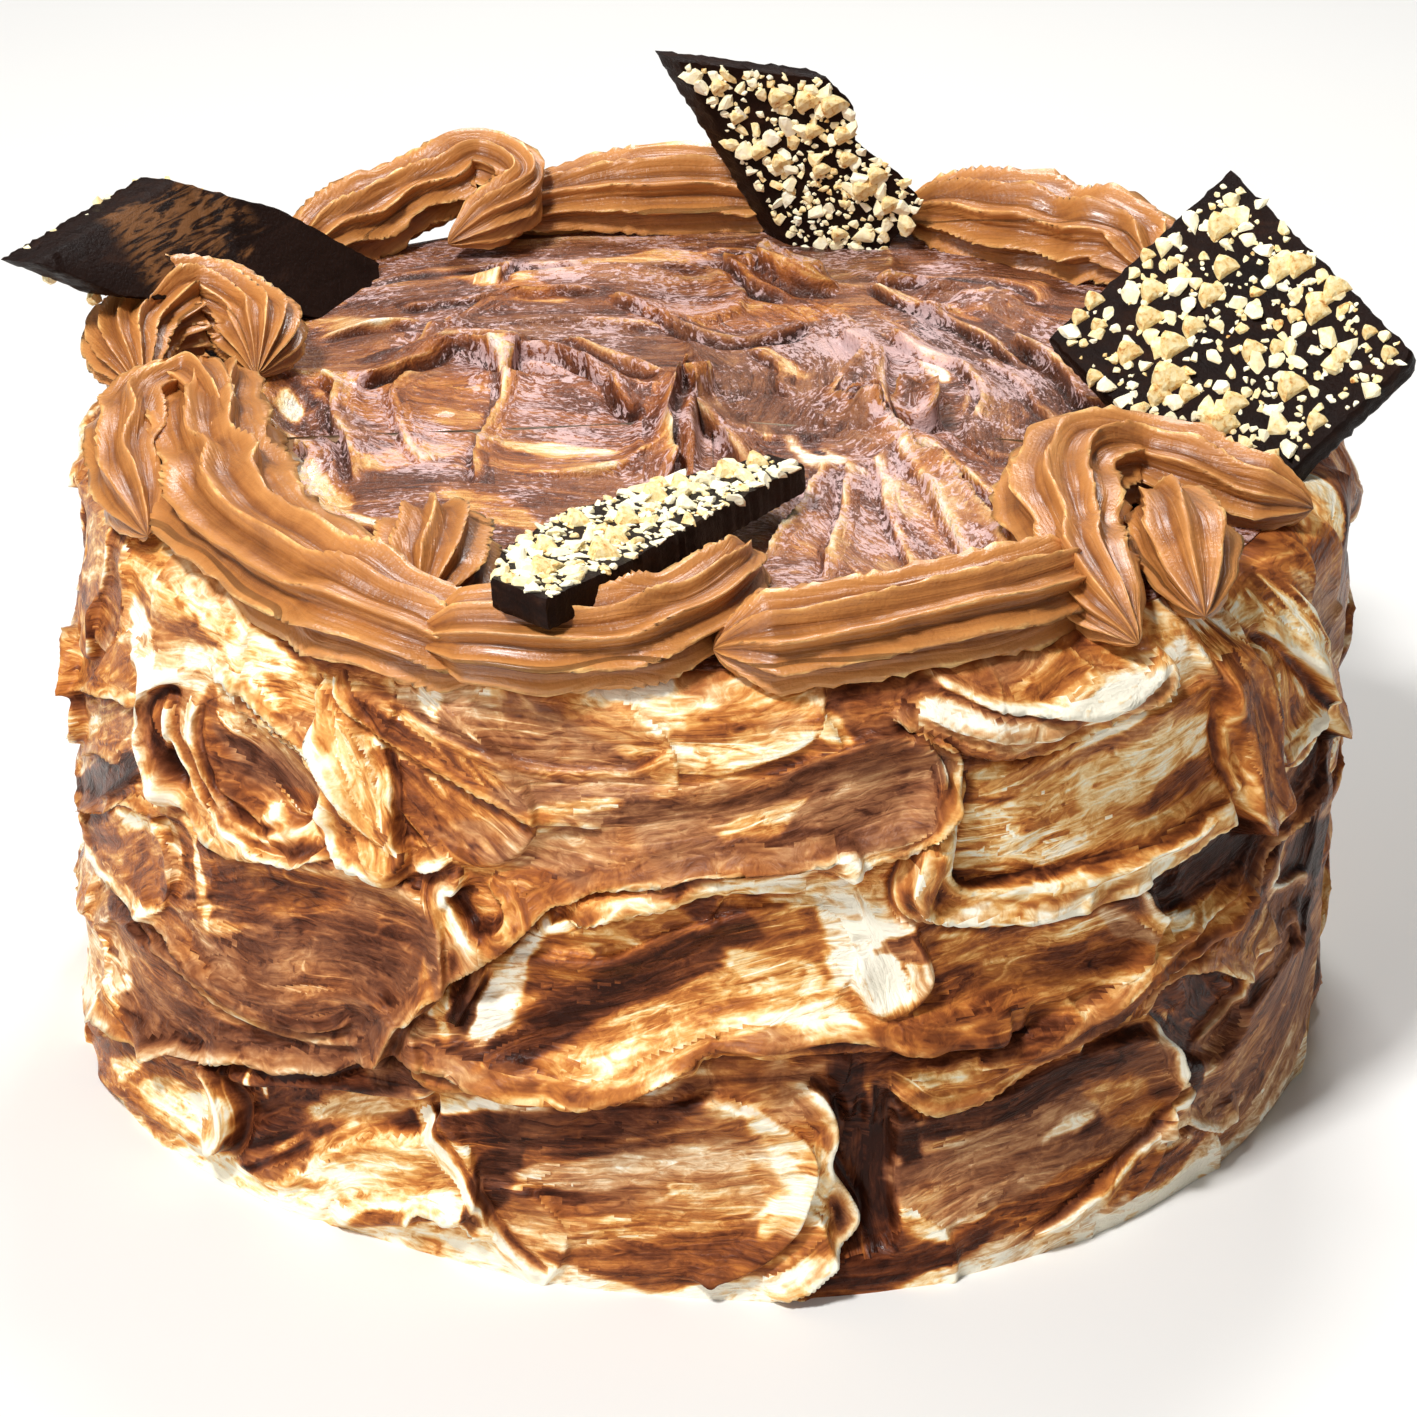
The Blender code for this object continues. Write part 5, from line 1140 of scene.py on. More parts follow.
# First piped first: a later stroke lies over the ones before it
ROPES = (
    Rope("swag_hidden_right", ((97, 2, 4, 0.7), (95, 26, 5, 1.0), (88, 46, 5, 0.9), (80, 60, 4, 0.5))),
    Rope("swag_back_right", ((36, 94, 4, 0.6), (52, 89, 5, 1.0), (66, 81, 5, 1.25), (78, 71, 6, 1.1),
                             (82, 60, 4, 0.8)), twist=0.4),
    Rope("swag_back", ((-40, 90, 4, 0.6), (-16, 97, 6, 0.9), (8, 99, 6, 0.9), (40, 93, 5, 0.6))),
    Rope("hairpin_back_left", ((-77, 67, 4, 0.6), (-67, 80, 5, 0.85), (-54, 90, 8.5, 0.85),
                               (-42, 94, 12, 0.8), (-35, 85, 10, 0.6), (-48, 74, 4, 0.35)), twist=0.3),
    Rope("rosette_left", ((-97, 2, 3, 0.5), (-100, 18, 7, 0.85), (-90, 29, 9, 0.95), (-79, 22, 7, 0.8),
                          (-78, 8, 4, 0.4)), ribs=7, twist=0.35),
    Rope("swag_left", ((-84, 6, 5, 0.75), (-83, -24, 5, 1.05), (-76, -53, 4, 1.2), (-63, -75, 4, 1.15),
                       (-48, -90, 3, 1.0), (-31, -98, 0, 0.5))),
    Rope("curl_left", ((-90, -56, 2, 0.4), (-95, -36, 5, 0.65), (-95, -16, 7, 0.65), (-88, -8, 8, 0.6),
                       (-82, -22, 8, 0.4), (-82, -42, 4, 0.3)), ribs=4),
    Rope("comb_front_left", ((-46, -88, 4, 0.8), (-44, -74, 6, 1.0), (-45, -54, 5, 0.5)),
         ribs=6, twist=0.3),
    Rope("swag_right", ((-1, -100, 4, 0.7), (14, -97, 5, 0.9), (29, -91, 5, 0.95), (44, -83, 5, 0.95),
                        (58, -70, 4, 0.7))),
    Rope("swag_front", ((-46, -96, 3, 0.5), (-35, -98, 5, 0.9), (-22, -99, 5, 0.95),
                        (-8, -95, 6, 0.9), (0, -85, 7, 0.75), (5, -70, 7, 0.3))),
    Rope("curl_right", ((97, -42, 3, 0.6), (82, -37, 5, 0.85), (68, -32, 7, 0.9), (57, -40, 8, 0.95),
                        (55, -60, 7, 0.95), (59, -80, 4, 0.7), (64, -90, 1, 0.4))),
    Rope("curl_right_inner", ((70, -46, 6, 0.4), (73, -62, 7, 0.8), (75, -82, 2, 0.5)), ribs=4),
)


def piping_tree():
    """A star section carried along a line whose points hold the section's own measures."""
    tree = bpy.data.node_groups.new("piped stroke", "GeometryNodeTree")
    ask = tree.interface.new_socket
    ask("Line", in_out="INPUT", socket_type="NodeSocketGeometry")
    inputs = {}
    for label, kind in (("Ribs", "NodeSocketFloat"), ("Rib depth", "NodeSocketFloat"),
                        ("Points round", "NodeSocketInt"), ("Finish", "NodeSocketMaterial")):
        inputs[label] = ask(label, in_out="INPUT", socket_type=kind).identifier
    ask("Stroke", in_out="OUTPUT", socket_type="NodeSocketGeometry")
    desk = Desk(tree)
    desk.add("NodeGroupInput")
    given = {socket.name: Wire(desk, socket) for socket in desk.last.outputs if socket.name}

    def kept(name, kind):
        return desk.add("GeometryNodeInputNamedAttribute", {"data_type": kind}, {"Name": name})

    ring = desk.add("GeometryNodeCurvePrimitiveCircle", {}, {"Resolution": given["Points round"]})
    share = desk.add("GeometryNodeInputIndex") / given["Points round"]
    ring = desk.add("GeometryNodeStoreNamedAttribute", {"data_type": "FLOAT", "domain": "POINT"},
                    {"Geometry": ring, "Name": "round", "Value": share})
    line = desk.add("GeometryNodeMeshToCurve", {}, {"Mesh": given["Line"]})
    skin = desk.add("GeometryNodeCurveToMesh", {},
                    {"Curve": line, "Profile Curve": ring, "Fill Caps": True})
    angle = kept("round", "FLOAT") * (2 * math.pi) + kept("turn", "FLOAT")
    pleat = (angle * given["Ribs"] * 0.5 + kept("drift", "FLOAT"))
    pleat = pleat.maths("ABSOLUTE", pleat.maths("SINE", pleat)) ** 0.7
    fold = angle * given["Ribs"] * 1.5 + kept("drift", "FLOAT") * 2.0
    pleat = pleat * 0.85 + fold.maths("ABSOLUTE", fold.maths("SINE", fold)) * 0.15
    rib = 1.0 + given["Rib depth"] * (1.0 - 2.0 * pleat)
    wide = kept("wide", "FLOAT") * rib * angle.maths("COSINE", angle)
    wide = wide.maths("MAXIMUM", wide, kept("least", "FLOAT"))
    wide = wide.maths("MINIMUM", wide, kept("most", "FLOAT"))
    tall = kept("tall", "FLOAT") * rib * angle.maths("SINE", angle)
    scaled = {"operation": "SCALE"}
    aside = desk.add("ShaderNodeVectorMath", scaled, {0: kept("aside", "FLOAT_VECTOR"), "Scale": wide})
    above = desk.add("ShaderNodeVectorMath", scaled, {0: kept("upward", "FLOAT_VECTOR"), "Scale": tall})
    place = desk.add("ShaderNodeVectorMath", {"operation": "ADD"}, {0: aside, 1: above})
    place = desk.add("ShaderNodeVectorMath", {"operation": "ADD"},
                     {0: place, 1: kept("middle", "FLOAT_VECTOR")})
    skin = desk.add("GeometryNodeSetPosition", {}, {"Geometry": skin, "Position": place})
    # The share into the hollow between ribs, which the buttercream paints darker as painted shade
    skin = desk.add("GeometryNodeStoreNamedAttribute", {"data_type": "FLOAT", "domain": "POINT"},
                    {"Geometry": skin, "Name": "valley", "Value": pleat})
    skin = desk.add("GeometryNodeRealizeInstances", {}, {"Geometry": skin})
    skin = desk.add("GeometryNodeSetMaterial", {}, {"Geometry": skin, "Material": given["Finish"]})
    end = tree.nodes.new("NodeGroupOutput")
    tree.links.new(skin.socket, end.inputs[0])
    return tree, inputs


def made_plain(thing, name):
    """The object's evaluated shape as a new plain mesh object of this name; the old one goes."""
    bpy.context.view_layer.update()
    graph = bpy.context.evaluated_depsgraph_get()
    mesh = bpy.data.meshes.new_from_object(thing.evaluated_get(graph))
    bpy.data.objects.remove(thing)
    mesh.name = name
    piece = bpy.data.objects.new(name, mesh)
    bpy.context.scene.collection.objects.link(piece)
    return piece


def pipe(rope, number, tree, inputs, finish):
    """Pipes one stroke: its line first, with the section's measures at each point."""
    line = smooth_curve(rope.way, ROPE_STEP)
    ways = np.gradient(line[:, :3], axis=0)
    ways /= np.linalg.norm(ways, axis=1)[:, None]
    aside = np.cross(ways, (0, 0, 1))
    aside /= np.linalg.norm(aside, axis=1)[:, None]
    upward = np.cross(aside, ways)
    plan = np.gradient(line[:, :2], axis=0)
    bend = np.gradient(plan, axis=0)
    bend = (plan[:, 0] * bend[:, 1] - plan[:, 1] * bend[:, 0]) / np.hypot(*plan.T) ** 3
    smooth = np.ones(9) / 9
    bend = np.convolve(np.pad(bend, 4, mode="edge"), smooth, mode="valid")
    share = np.linspace(0, 1, len(line))
    length = np.concatenate([[0], np.cumsum(np.linalg.norm(np.diff(line[:, :3], axis=0), axis=1))])
    width = line[:, 3]
    left = length[-1] - length
    ends = (np.clip(length / PULLED_END, 0, 1) * np.clip(left / PULLED_END, 0, 1)) ** 0.6
    ends = np.maximum(ends, 0.02)
    limit = INNER_SHARE / np.maximum(np.abs(bend), 1e-4) * MM
    swell = 1 + 0.1 * ripple(length / 7, np.full(len(line), 3.0 * number))
    wide = ROPE_HALF_WIDTH * width * ends * swell
    tall = ROPE_HALF_HEIGHT * width**0.6 * ends * swell
    measures = {
        "wide": wide * MM,
        "tall": tall * MM,
        "turn": rope.twist * share * math.pi,
        "drift": 0.9 * ripple(length / 10, np.full(len(line), 5.0 * number)),
        "least": np.where(bend > 0, -1.0, -limit),
        "most": np.where(bend > 0, limit, 1.0),
        "along": length,
    }
    mesh = bpy.data.meshes.new("line")
    middle = line[:, :3] + (0, 0, HEIGHT)
    mesh.from_pydata((middle * MM).tolist(), [(i, i + 1) for i in range(len(line) - 1)], [])
    for key, values in measures.items():
        mesh.attributes.new(key, "FLOAT", "POINT").data.foreach_set("value", values.astype(np.float32))
    for key, values in (("aside", aside), ("upward", upward), ("middle", middle * MM)):
        layer = mesh.attributes.new(key, "FLOAT_VECTOR", "POINT")
        layer.data.foreach_set("vector", values.astype(np.float32).ravel())
    thing = bpy.data.objects.new("line", mesh)
    bpy.context.scene.collection.objects.link(thing)
    nodes = thing.modifiers.new("piping", "NODES")
    nodes.node_group = tree
    nodes[inputs["Ribs"]] = 2.0 * rope.ribs
    nodes[inputs["Rib depth"]] = RIB_DEPTH
    nodes[inputs["Points round"]] = 2 * rope.ribs * POINTS_PER_RIB
    nodes[inputs["Finish"]] = finish
    piece = made_plain(thing, "piped_" + rope.name)
    piece.data.shade_smooth()
    return piece


def buttercream_material():
    """Milk chocolate buttercream: tan ribs, paler at their crests as painted highlight, darker and redder
    between them as painted shade, and faint streaks along the piping.
    """
    material, desk, shader = new_material("piped buttercream")
    along = desk.attribute("along")
    around = desk.attribute("round")
    valley = desk.attribute("valley")
    place = desk.add("ShaderNodeTexCoord", out=3)
    millimetres = desk.stretch(place, (1000, 1000, 1000))
    run = desk.add("ShaderNodeCombineXYZ", {}, {0: along * 0.03, 1: around * 60.0})
    streaks = desk.noise(run, 1.0, 3.0, 0.6, 0.2)
    clouds = desk.noise(millimetres, 0.12, 3.0, 0.6, 0.4)
    flecks = desk.noise(millimetres, 1.4, 3.0, 0.6, 0.0)
    # Painted highlight and shade: rib crests take the pale end of the ramp, the hollows between ribs its
    # dark end
    depth = valley * 0.62 + (streaks - 0.5) * 0.5 + (clouds - 0.5) * 0.5 + (flecks - 0.5) * 0.15
    paint = desk.add("ShaderNodeValToRGB", {"stops": (
        (0.02, colour(240, 190, 120)), (0.14, colour(202, 138, 76)), (0.42, colour(174, 112, 56)),
        (0.62, colour(140, 84, 40)), (0.9, colour(84, 46, 24)))}, {0: depth})
    looks = {
        "Base Color": paint,
        "Roughness": desk.between(streaks, 0.2, 0.8, 0.28, 0.44),
        "Coat Weight": desk.between(clouds, 0.3, 0.7, 0.0, 0.25),
    }
    shader.inputs["Coat Roughness"].default_value = 0.2
    finish_material(desk, shader, looks, streaks * 0.7 + flecks * 0.3, 0.5)
    return material


piping, piping_inputs = piping_tree()
buttercream = buttercream_material()
for number, rope in enumerate(ROPES):
    piece = pipe(rope, number, piping, piping_inputs, buttercream)
    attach(piece, "root")
    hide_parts(rope.name)


# The shards of bark
# Dark chocolate poured in a sheet, strewn with chopped roast nuts, set and broken by hand. The
# shards are pushed into the frosting while it is soft.

BARK_THICKNESS = 4.6
BREAK_STEP = 1.1
BREAK_KNOCK = 0.22
# Rings down the broken edge: (share of the thickness, how far in)
BREAK_RINGS = ((0.0, 0.5), (0.12, 0.12), (0.3, 0.0), (0.5, 0.1), (0.72, 0.0), (0.9, 0.15), (1.0, 0.55))


class Bark(NamedTuple):
    """One shard: its frame (origin; tilt, pitch and yaw in degrees), outline and slanting break."""

    name: str
    origin: tuple
    turn: tuple
    outline: tuple
    slant: tuple
    nuts_in_front: bool
    cover: float


BARKS = (
    Bark("bark_left", (-71, 47, 107), (50, 0, 63),
         ((-57, 30), (-44, 18.5), (0, -3), (17, -6), (24, 0), (8, 18), (-13, 31.5)),
         (-2.4, 4.2), False, 0.8),
    Bark("bark_back", (26, 84, 107), (100, 0, -8),
         ((-11.5, -0.5), (-7, -8), (6, -8), (9, 0), (14.8, 8.7), (11, 14), (2, 21.4), (1.4, 28.6),
          (-3.5, 34), (-31.5, 35.8)),
         (-5.2, -0.5), True, 1.3),
    Bark("bark_right", (85, -24, 107), (45, 0, -14),
         ((-33, 20.5), (-14, 4), (4, -9), (12, 2), (27, 22.5), (27.5, 25), (-7, 55)),
         (0.8, -0.8), True, 0.75),
    Bark("bark_front", (-9, -68, 117), (0, 5, 47),
         ((-41, -15), (-21, -12), (37, 2.5), (36, 9), (8.5, 10), (-12, 10), (-31.5, 3.5), (-41.5, -4)),
         (0.0, -1.0), True, 2.0),
)


def bark_frame(bark):
    """The shard's frame: its own x runs across, y up the slab and z out of its front face."""
    turn = Euler([math.radians(angle) for angle in bark.turn], "XYZ").to_matrix().to_4x4()
    turn.translation = Vector(bark.origin)
    return np.array(turn)


def broken_outline(outline, draw):
    """The outline with points about every BREAK_STEP, knocked a little in and out as it broke."""
    points = []
    for index, start in enumerate(outline):
        end = outline[(index + 1) % len(outline)]
        start, end = np.array(start, float), np.array(end, float)
        length = np.linalg.norm(end - start)
        across = np.array((start[1] - end[1], end[0] - start[0])) / length
        steps = max(1, round(length / BREAK_STEP))
        for step in range(steps):
            knock = draw.uniform(-BREAK_KNOCK, BREAK_KNOCK) if step else 0.0
            points.append(start + (end - start) * step / steps + knock * across)
    return np.array(points)


def make_slab(bark, draw, finish):
    """The slab of chocolate: two faces, a broken edge between them and softened corners."""
    frame_of_bark = bark_frame(bark)
    edge = broken_outline(bark.outline, draw)
    middle = edge.mean(axis=0)
    rings = []
    for depth, inset in BREAK_RINGS:
        inward = (middle - edge) / np.linalg.norm(middle - edge, axis=1)[:, None]
        rough = np.array([draw.uniform(-0.18, 0.18) for _ in edge])[:, None] * (0 < depth < 1)
        ring = edge + inward * (inset + rough) + depth * np.array(bark.slant)
        rings.append(np.column_stack([ring, np.full(len(ring), -depth * BARK_THICKNESS)]))
    count = len(edge)
    local = np.vstack(rings)
    points = local @ frame_of_bark[:3, :3].T + frame_of_bark[:3, 3]
    faces = []
    for row in range(len(rings) - 1):
        for index in range(count):
            after = (index + 1) % count
            faces.append((row * count + index, (row + 1) * count + index,
                          (row + 1) * count + after, row * count + after))
    faces.append(tuple(range(count)))
    last = (len(rings) - 1) * count
    faces.append(tuple(reversed(range(last, last + count))))
    mesh = bpy.data.meshes.new("chocolate_" + bark.name)
    mesh.from_pydata((points * MM).tolist(), [], faces)
    layer = mesh.attributes.new("slab", "FLOAT_VECTOR", "POINT")
    layer.data.foreach_set("vector", local.astype(np.float32).ravel())
    wiped = np.full(len(local), 0.0 if bark.nuts_in_front else 1.0, np.float32)
    mesh.attributes.new("wiped", "FLOAT", "POINT").data.foreach_set("value", wiped)
    shape = bmesh.new()
    shape.from_mesh(mesh)
    bmesh.ops.triangulate(shape, faces=[f for f in shape.faces if len(f.verts) > 4])
    bmesh.ops.recalc_face_normals(shape, faces=shape.faces)
    shape.to_mesh(mesh)
    shape.free()
    mesh.set_sharp_from_angle(angle=math.radians(40))
    mesh.materials.append(finish)
    piece = bpy.data.objects.new(mesh.name, mesh)
    bpy.context.scene.collection.objects.link(piece)
    return piece


def chocolate_material():
    """Dark chocolate, satin with a poured gloss."""
    material, desk, shader = new_material("dark chocolate")
    slab = desk.attribute("slab", vector=True)
    smears = desk.noise(desk.stretch(slab, (0.05, 0.16, 0.3)), 1.0, 4.0, 0.6, 1.2)
    grain = desk.noise(slab, 1.2, 4.0, 0.7, 0.0)
    paint = desk.add("ShaderNodeValToRGB", {"stops": (
        (0.3, colour(20, 10, 7)), (0.55, colour(31, 17, 12)), (0.8, colour(54, 32, 21)))},
        {0: smears + (grain - 0.5) * 0.3})
    across = desk.add("ShaderNodeSeparateXYZ", {}, {0: slab}, 1) + (smears - 0.5) * 30.0
    run = desk.add("ShaderNodeSeparateXYZ", {}, {0: slab}, 0)
    wiped = desk.noise(desk.stretch(slab, (0.07, 0.4, 0.0)), 1.0, 4.0, 0.6, 1.8)
    wiped = desk.between(wiped, 0.42, 0.56) * desk.between(across, 15.0, 19.0)
    wiped = wiped * desk.between(across, 33.0, 29.0) * desk.between(run, -38.0, -32.0)
    wiped = wiped * desk.between(run, 2.0, -4.0) * desk.attribute("wiped")
    paint = desk.blend(wiped * 0.8, paint, colour(122, 80, 46))
    looks = {
        "Base Color": paint,
        "Roughness": desk.between(smears + (grain - 0.5) * 0.5, 0.3, 0.7, 0.3, 0.5),
    }
    shader.inputs["Specular IOR Level"].default_value = 0.06
    finish_material(desk, shader, looks, grain, 0.25)
    return material


chocolate = chocolate_material()
draw = random.Random(SEED)
for bark in BARKS:
    piece = make_slab(bark, draw, chocolate)
    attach(piece, "root")
    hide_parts(bark.name)


# The chopped nuts
# Roast hazelnuts, chopped by hand and pressed into the chocolate before it set. The cut sides are
# cream to golden and brown skin is left on some. The largest pieces are placed one by one.

# Large pieces: (x, y, size) in millimetres on the face of the shard
LARGE_NUTS = {
    "bark_right": (
        (-7.4, 43.4, 6.3), (3.7, 36.6, 5.6), (6.7, 37.8, 5.6), (-5.6, 36.1, 5.3), (-7.4, 30.7, 5.3),
        (-17.1, 30.4, 5.5), (-17.1, 25.3, 5.6), (-18.8, 37.0, 3.2), (-14.3, 36.1, 2.9),
        (-26.6, 27.7, 4.1), (-28.5, 24.5, 3.6), (-25.1, 23.2, 3.4), (-19.4, 18.7, 5.3),
        (-12.4, 20.7, 6.3), (-12.2, 14.4, 7.7), (-13.3, 11.6, 4.9), (-9.4, 24.6, 4.8), (1.1, 21.4, 4.9),
        (5.2, 22.6, 3.5), (10.7, 29.5, 5.3), (13.3, 34.1, 5.5), (12.5, 32.5, 3.5), (15.6, 21.8, 4.2),
        (8.3, 15.6, 6.2), (-0.7, 11.4, 5.5), (-1.9, 7.4, 6.0), (13.3, 9.9, 4.2), (19.9, 27.0, 3.2),
        (23.6, 23.5, 3.5), (-24.4, 13.9, 3.4), (7.2, 28.7, 3.2), (-8.4, 12.5, 4.2), (-4.2, 8.0, 4.2)),
    "bark_back": (
        (-13.0, 29.0, 5.5), (-8.0, 28.5, 6.0), (-3.0, 28.0, 6.5), (-1.0, 22.0, 5.0), (-6.5, 22.5, 4.5),
        (-20.5, 24.5, 4.0), (-16.5, 17.5, 4.5), (-12.5, 15.5, 5.0), (3.0, 11.0, 6.5), (5.5, 14.0, 5.0),
        (8.0, 8.0, 5.0), (-5.0, 14.5, 4.5), (0.0, 17.0, 4.5), (-1.5, 1.0, 4.0), (-24.0, 30.5, 4.5)),
    "bark_front": (
        (22.0, 6.5, 5.0), (4.0, 5.5, 5.5), (-7.0, 1.0, 5.0), (-21.0, -7.0, 6.0), (-26.0, 0.0, 4.5),
        (-33.0, -6.0, 5.0), (-14.0, 5.0, 5.0), (12.0, 7.0, 4.5), (30.0, 7.0, 4.5), (-15.0, -4.0, 5.0)),
    "bark_left": ((-44.0, 21.0, 4.5), (-10.0, 31.0, 4.5), (-4.0, 26.0, 5.0), (10.0, 14.0, 4.5)),
}
LARGE_NUT_SHARE = 1.15
PIECE_SPACING = 2.5
PIECE_SIZES = (2.0, 4.9)
CRUMB_SIZES = (0.7, 1.9)
CRUMBS_PER_SQUARE_METRE = 260000.0
CHUNK_KINDS = 5
CHUNK_CUTS = 13
CHUNK_CUT_DEPTHS = (0.2, 0.38)
CHUNK_SHAPE = (1.0, 0.85, 0.6)


def nut_chunk(name, draw):
    """One piece of chopped nut, about a metre long before it is scaled: a lump cut flat by planes."""
    shape = bmesh.new()
    bmesh.ops.create_icosphere(shape, subdivisions=2, radius=0.5)
    for _ in range(CHUNK_CUTS):
        way = Vector([draw.uniform(-1, 1) for _ in range(3)]).normalized()
        limit = draw.uniform(*CHUNK_CUT_DEPTHS)
        for vert in shape.verts:
            above = vert.co.dot(way) - limit
            if above > 0:
                vert.co -= above * way
    size = [max(vert.co[axis] for vert in shape.verts) - min(vert.co[axis] for vert in shape.verts)
            for axis in range(3)]
    for vert in shape.verts:
        vert.co = Vector([CHUNK_SHAPE[axis] * vert.co[axis] / size[axis] for axis in range(3)])
    mesh = bpy.data.meshes.new(name)
    shape.to_mesh(mesh)
    shape.free()
    return bpy.data.objects.new(name, mesh)


def nut_faces(barks):
    """The shards' faces that were strewn, with a loose point for each large piece."""
    points, faces, cover, size, out = [], [], [], [], []
    for bark in barks:
        frame_of_bark = bark_frame(bark)
        depth = 0.0 if bark.nuts_in_front else -BARK_THICKNESS
        away = frame_of_bark[:3, 2] * (1 if bark.nuts_in_front else -1)
        outline = np.array(bark.outline, float)
        middle = outline.mean(axis=0)
        inset = outline + (middle - outline) * 0.045 - depth / BARK_THICKNESS * np.array(bark.slant)
        for part, size_here in ((inset, 0.0), (np.array(LARGE_NUTS[bark.name], float), 1.0)):
            local = np.column_stack([part[:, :2], np.full(len(part), depth)])
            if size_here == 0.0:
                turn = range(len(points), len(points) + len(part))
                faces.append(tuple(turn if bark.nuts_in_front else reversed(turn)))
                cover.append(bark.cover)
                size += [0.0] * len(part)
            else:
                size += (LARGE_NUT_SHARE * part[:, 2] * MM).tolist()
            points += (local @ frame_of_bark[:3, :3].T + frame_of_bark[:3, 3]).tolist()
            out += [away] * len(part)
    mesh = bpy.data.meshes.new("strewn faces")
    mesh.from_pydata((np.array(points) * MM).tolist(), [], faces)
    mesh.attributes.new("cover", "FLOAT", "FACE").data.foreach_set("value", cover)
    mesh.attributes.new("size", "FLOAT", "POINT").data.foreach_set("value", size)
    layer = mesh.attributes.new("out", "FLOAT_VECTOR", "POINT")
    layer.data.foreach_set("vector", np.array(out, np.float32).ravel())
    thing = bpy.data.objects.new("strewn faces", mesh)
    bpy.context.scene.collection.objects.link(thing)
    return thing


def nuts_tree():
    """Strews pieces and crumbs over the faces, puts a chunk on each point and turns it at random."""
    tree = bpy.data.node_groups.new("chopped nuts", "GeometryNodeTree")
    ask = tree.interface.new_socket
    ask("Faces", in_out="INPUT", socket_type="NodeSocketGeometry")
    inputs = {}
    for label, kind in (("Chunks", "NodeSocketCollection"), ("Kinds", "NodeSocketInt"),
                        ("Piece spacing", "NodeSocketFloat"), ("Crumbs", "NodeSocketFloat"),
                        ("Seed", "NodeSocketInt"), ("Finish", "NodeSocketMaterial")):
        inputs[label] = ask(label, in_out="INPUT", socket_type=kind).identifier
    ask("Nuts", in_out="OUTPUT", socket_type="NodeSocketGeometry")
    desk = Desk(tree)
    desk.add("NodeGroupInput")
    given = {socket.name: Wire(desk, socket) for socket in desk.last.outputs if socket.name}

    def chance(low, high, seed):
        return desk.add("FunctionNodeRandomValue", {"data_type": "FLOAT"},
                        {2: low, 3: high, "Seed": given["Seed"] + seed}, 1)

    def keep(geometry, name, kind, value, domain="POINT"):
        return desk.add("GeometryNodeStoreNamedAttribute", {"data_type": kind, "domain": domain},
                        {"Geometry": geometry, "Name": name, "Value": value})

    cover = desk.add("GeometryNodeInputNamedAttribute", {"data_type": "FLOAT"}, {"Name": "cover"})
    strewn = []
    pieces = desk.add("GeometryNodeDistributePointsOnFaces", {"distribute_method": "POISSON"},
                      {"Mesh": given["Faces"], "Distance Min": given["Piece spacing"],
                       "Density Max": 400000.0, "Density Factor": cover, "Seed": given["Seed"]})
    normal = Wire(desk, desk.last.outputs["Normal"])
    least, most = PIECE_SIZES
    sizes = chance(0.0, 1.0, 1) ** 1.5 * ((most - least) * MM) + least * MM
    pieces = keep(pieces, "size", "FLOAT", sizes)
    strewn.append(keep(pieces, "out", "FLOAT_VECTOR", normal))
    crumbs = desk.add("GeometryNodeDistributePointsOnFaces", {"distribute_method": "RANDOM"},
                      {"Mesh": given["Faces"], "Density": given["Crumbs"] * cover,
                       "Seed": given["Seed"] + 1})
    normal = Wire(desk, desk.last.outputs["Normal"])
    least, most = CRUMB_SIZES
    crumbs = keep(crumbs, "size", "FLOAT", chance(least * MM, most * MM, 2))
    strewn.append(keep(crumbs, "out", "FLOAT_VECTOR", normal))
    size = desk.add("GeometryNodeInputNamedAttribute", {"data_type": "FLOAT"}, {"Name": "size"})
    large = size.maths("GREATER_THAN", size, 0.0)
    strewn.append(desk.add("GeometryNodeMeshToPoints", {},
                           {"Mesh": given["Faces"], "Selection": large}))
    places = desk.add("GeometryNodeJoinGeometry")
    join = desk.last
    for part in strewn:
        tree.links.new(part.socket, join.inputs[0])
    chunks = desk.add("GeometryNodeCollectionInfo", {},
                      {"Collection": given["Chunks"], "Separate Children": True,
                       "Reset Children": True})
    out = desk.add("GeometryNodeInputNamedAttribute", {"data_type": "FLOAT_VECTOR"}, {"Name": "out"})
    turn = desk.add("FunctionNodeAlignRotationToVector", {"axis": "Z"}, {"Vector": out})
    spin = desk.add("FunctionNodeRandomValue", {"data_type": "FLOAT_VECTOR"},
                    {0: (-0.5, -0.5, -3.14), 1: (0.5, 0.5, 3.14), "Seed": given["Seed"] + 3})
    spin = desk.add("FunctionNodeEulerToRotation", {}, {0: spin})
    turn = desk.add("FunctionNodeRotateRotation", {"rotation_space": "LOCAL"},
                    {"Rotation": turn, "Rotate By": spin})
    stretch = desk.add("FunctionNodeRandomValue", {"data_type": "FLOAT_VECTOR"},
                       {0: (0.85, 0.75, 0.7), 1: (1.2, 1.05, 1.0), "Seed": given["Seed"] + 4})
    scale = desk.add("ShaderNodeVectorMath", {"operation": "SCALE"}, {0: stretch, "Scale": size})
    pick = desk.add("FunctionNodeRandomValue", {"data_type": "INT"},
                    {4: 0, 5: given["Kinds"], "Seed": given["Seed"] + 5}, 2)
    nuts = desk.add("GeometryNodeInstanceOnPoints", {},
                    {"Points": places, "Instance": chunks, "Pick Instance": True,
                     "Instance Index": pick, "Rotation": turn, "Scale": scale})
    nuts = keep(nuts, "shade", "FLOAT", chance(0.0, 1.0, 6), "INSTANCE")
    nuts = desk.add("GeometryNodeRealizeInstances", {}, {"Geometry": nuts})
    nuts = desk.add("GeometryNodeSetMaterial", {}, {"Geometry": nuts, "Material": given["Finish"]})
    end = tree.nodes.new("NodeGroupOutput")
    tree.links.new(nuts.socket, end.inputs[0])
    return tree, inputs


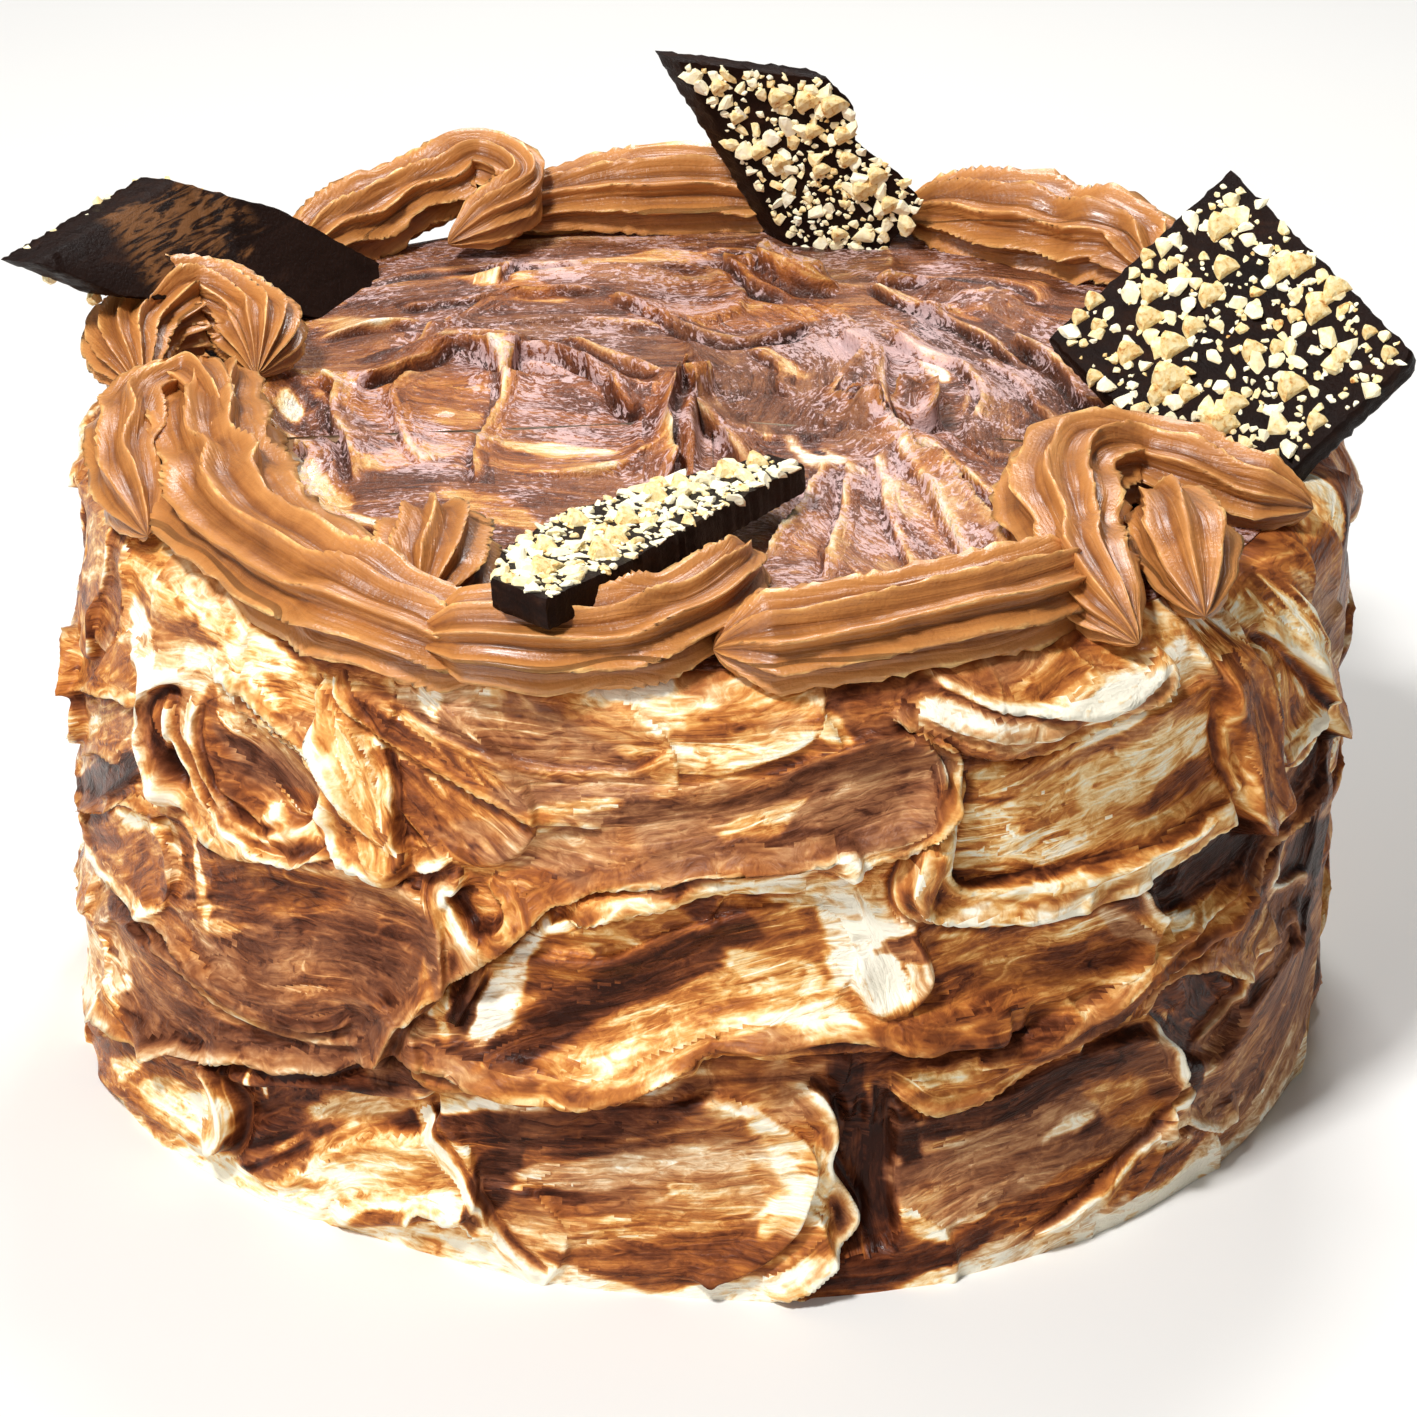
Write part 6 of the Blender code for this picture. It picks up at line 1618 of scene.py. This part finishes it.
def nut_material():
    """Cut hazelnut: cream to golden, with brown skin on some."""
    material, desk, shader = new_material("chopped nuts")
    shade = desk.attribute("shade")
    place = desk.add("ShaderNodeTexCoord", out=3)
    millimetres = desk.stretch(place, (1000, 1000, 1000))
    mottle = desk.noise(millimetres, 0.9, 3.0, 0.6, 0.3)
    paint = desk.add("ShaderNodeValToRGB", {"stops": (
        (0.0, colour(255, 250, 224)), (0.5, colour(253, 238, 190)), (0.76, colour(240, 208, 140)),
        (0.9, colour(206, 138, 66)), (1.0, colour(130, 72, 36)))},
        {0: shade * 0.72 + (mottle - 0.5) * 1.1 + 0.02})
    finish_material(desk, shader, {"Base Color": paint, "Roughness": mottle * 0.4 + 0.35}, mottle, 0.25)
    shader.inputs["Specular IOR Level"].default_value = 0.3
    return material


chunks = bpy.data.collections.new("nut chunks")
draw = random.Random(SEED + 6)
for number in range(CHUNK_KINDS):
    chunks.objects.link(nut_chunk("nut chunk", draw))
thing = nut_faces(BARKS)
strewing, strewing_inputs = nuts_tree()
nodes = thing.modifiers.new("nuts", "NODES")
nodes.node_group = strewing
nodes[strewing_inputs["Chunks"]] = chunks
nodes[strewing_inputs["Kinds"]] = CHUNK_KINDS - 1
nodes[strewing_inputs["Piece spacing"]] = PIECE_SPACING * MM
nodes[strewing_inputs["Crumbs"]] = CRUMBS_PER_SQUARE_METRE
nodes[strewing_inputs["Seed"]] = SEED
nodes[strewing_inputs["Finish"]] = nut_material()
piece = made_plain(thing, "chopped_nuts")
for chunk in list(chunks.objects):
    bpy.data.objects.remove(chunk)
bpy.data.collections.remove(chunks)
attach(piece, "root")
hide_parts(*[bark.name for bark in BARKS])


# The floor, the light and the camera
# A plain pale floor, soft light from above and in front, and the camera where the photographer stood.

CAMERA_PLACE = (-0.0125, -0.6944, 0.3908)
AIM = (0.0004, 0.0, 0.0501)
CAMERA_ROLL = 0.01875
LENS = 111.68

floor_mesh = bpy.data.meshes.new("floor")
floor_mesh.from_pydata([(-4, -4, 0), (4, -4, 0), (4, 4, 0), (-4, 4, 0)], [], [(0, 1, 2, 3)])
floor = bpy.data.objects.new("floor", floor_mesh)
bpy.context.scene.collection.objects.link(floor)
floor_material, desk, shader = new_material("pale floor")
cloud = desk.noise(desk.add("ShaderNodeTexCoord", out=3), 3.0)
desk.tree.links.new(desk.blend(cloud, colour(226, 224, 220), colour(232, 231, 228)).socket,
                    shader.inputs["Base Color"])
shader.inputs["Roughness"].default_value = 0.8
floor_mesh.materials.append(floor_material)


def lamp(name, place, aim, size, power):
    """A soft square light."""
    light = bpy.data.lights.new(name, "AREA")
    light.size = size
    light.energy = power
    thing = bpy.data.objects.new(name, light)
    thing.location = place
    thing.rotation_euler = (Vector(aim) - Vector(place)).to_track_quat("-Z", "Y").to_euler()
    bpy.context.scene.collection.objects.link(thing)


lamp("key light", (-0.45, -0.62, 1.2), (0, 0, 0.05), 0.2, 20.0)
lamp("top light", (0.1, 0.6, 0.95), (0, 0, 0.08), 0.3, 7.5)
lamp("front fill", (-0.75, -1.1, 0.45), (0, 0, 0.05), 0.5, 4.5)
world = bpy.data.worlds.new("studio")
world.use_nodes = True
world.node_tree.nodes["Background"].inputs["Color"].default_value = (1.0, 1.0, 1.0, 1.0)
world.node_tree.nodes["Background"].inputs["Strength"].default_value = 0.16
bpy.context.scene.world = world
bpy.context.scene.view_settings.view_transform = "Standard"

lens = bpy.data.cameras.new("camera")
lens.lens = LENS
lens.sensor_width = 36.0
lens.clip_start = 0.01
lens.clip_end = 20.0
camera = bpy.data.objects.new("camera", lens)
camera.location = CAMERA_PLACE
look = Vector(AIM) - Vector(CAMERA_PLACE)
camera.rotation_mode = "QUATERNION"
camera.rotation_quaternion = look.to_track_quat("-Z", "Y") @ Quaternion((0, 0, 1), CAMERA_ROLL)
bpy.context.scene.collection.objects.link(camera)
bpy.context.scene.camera = camera
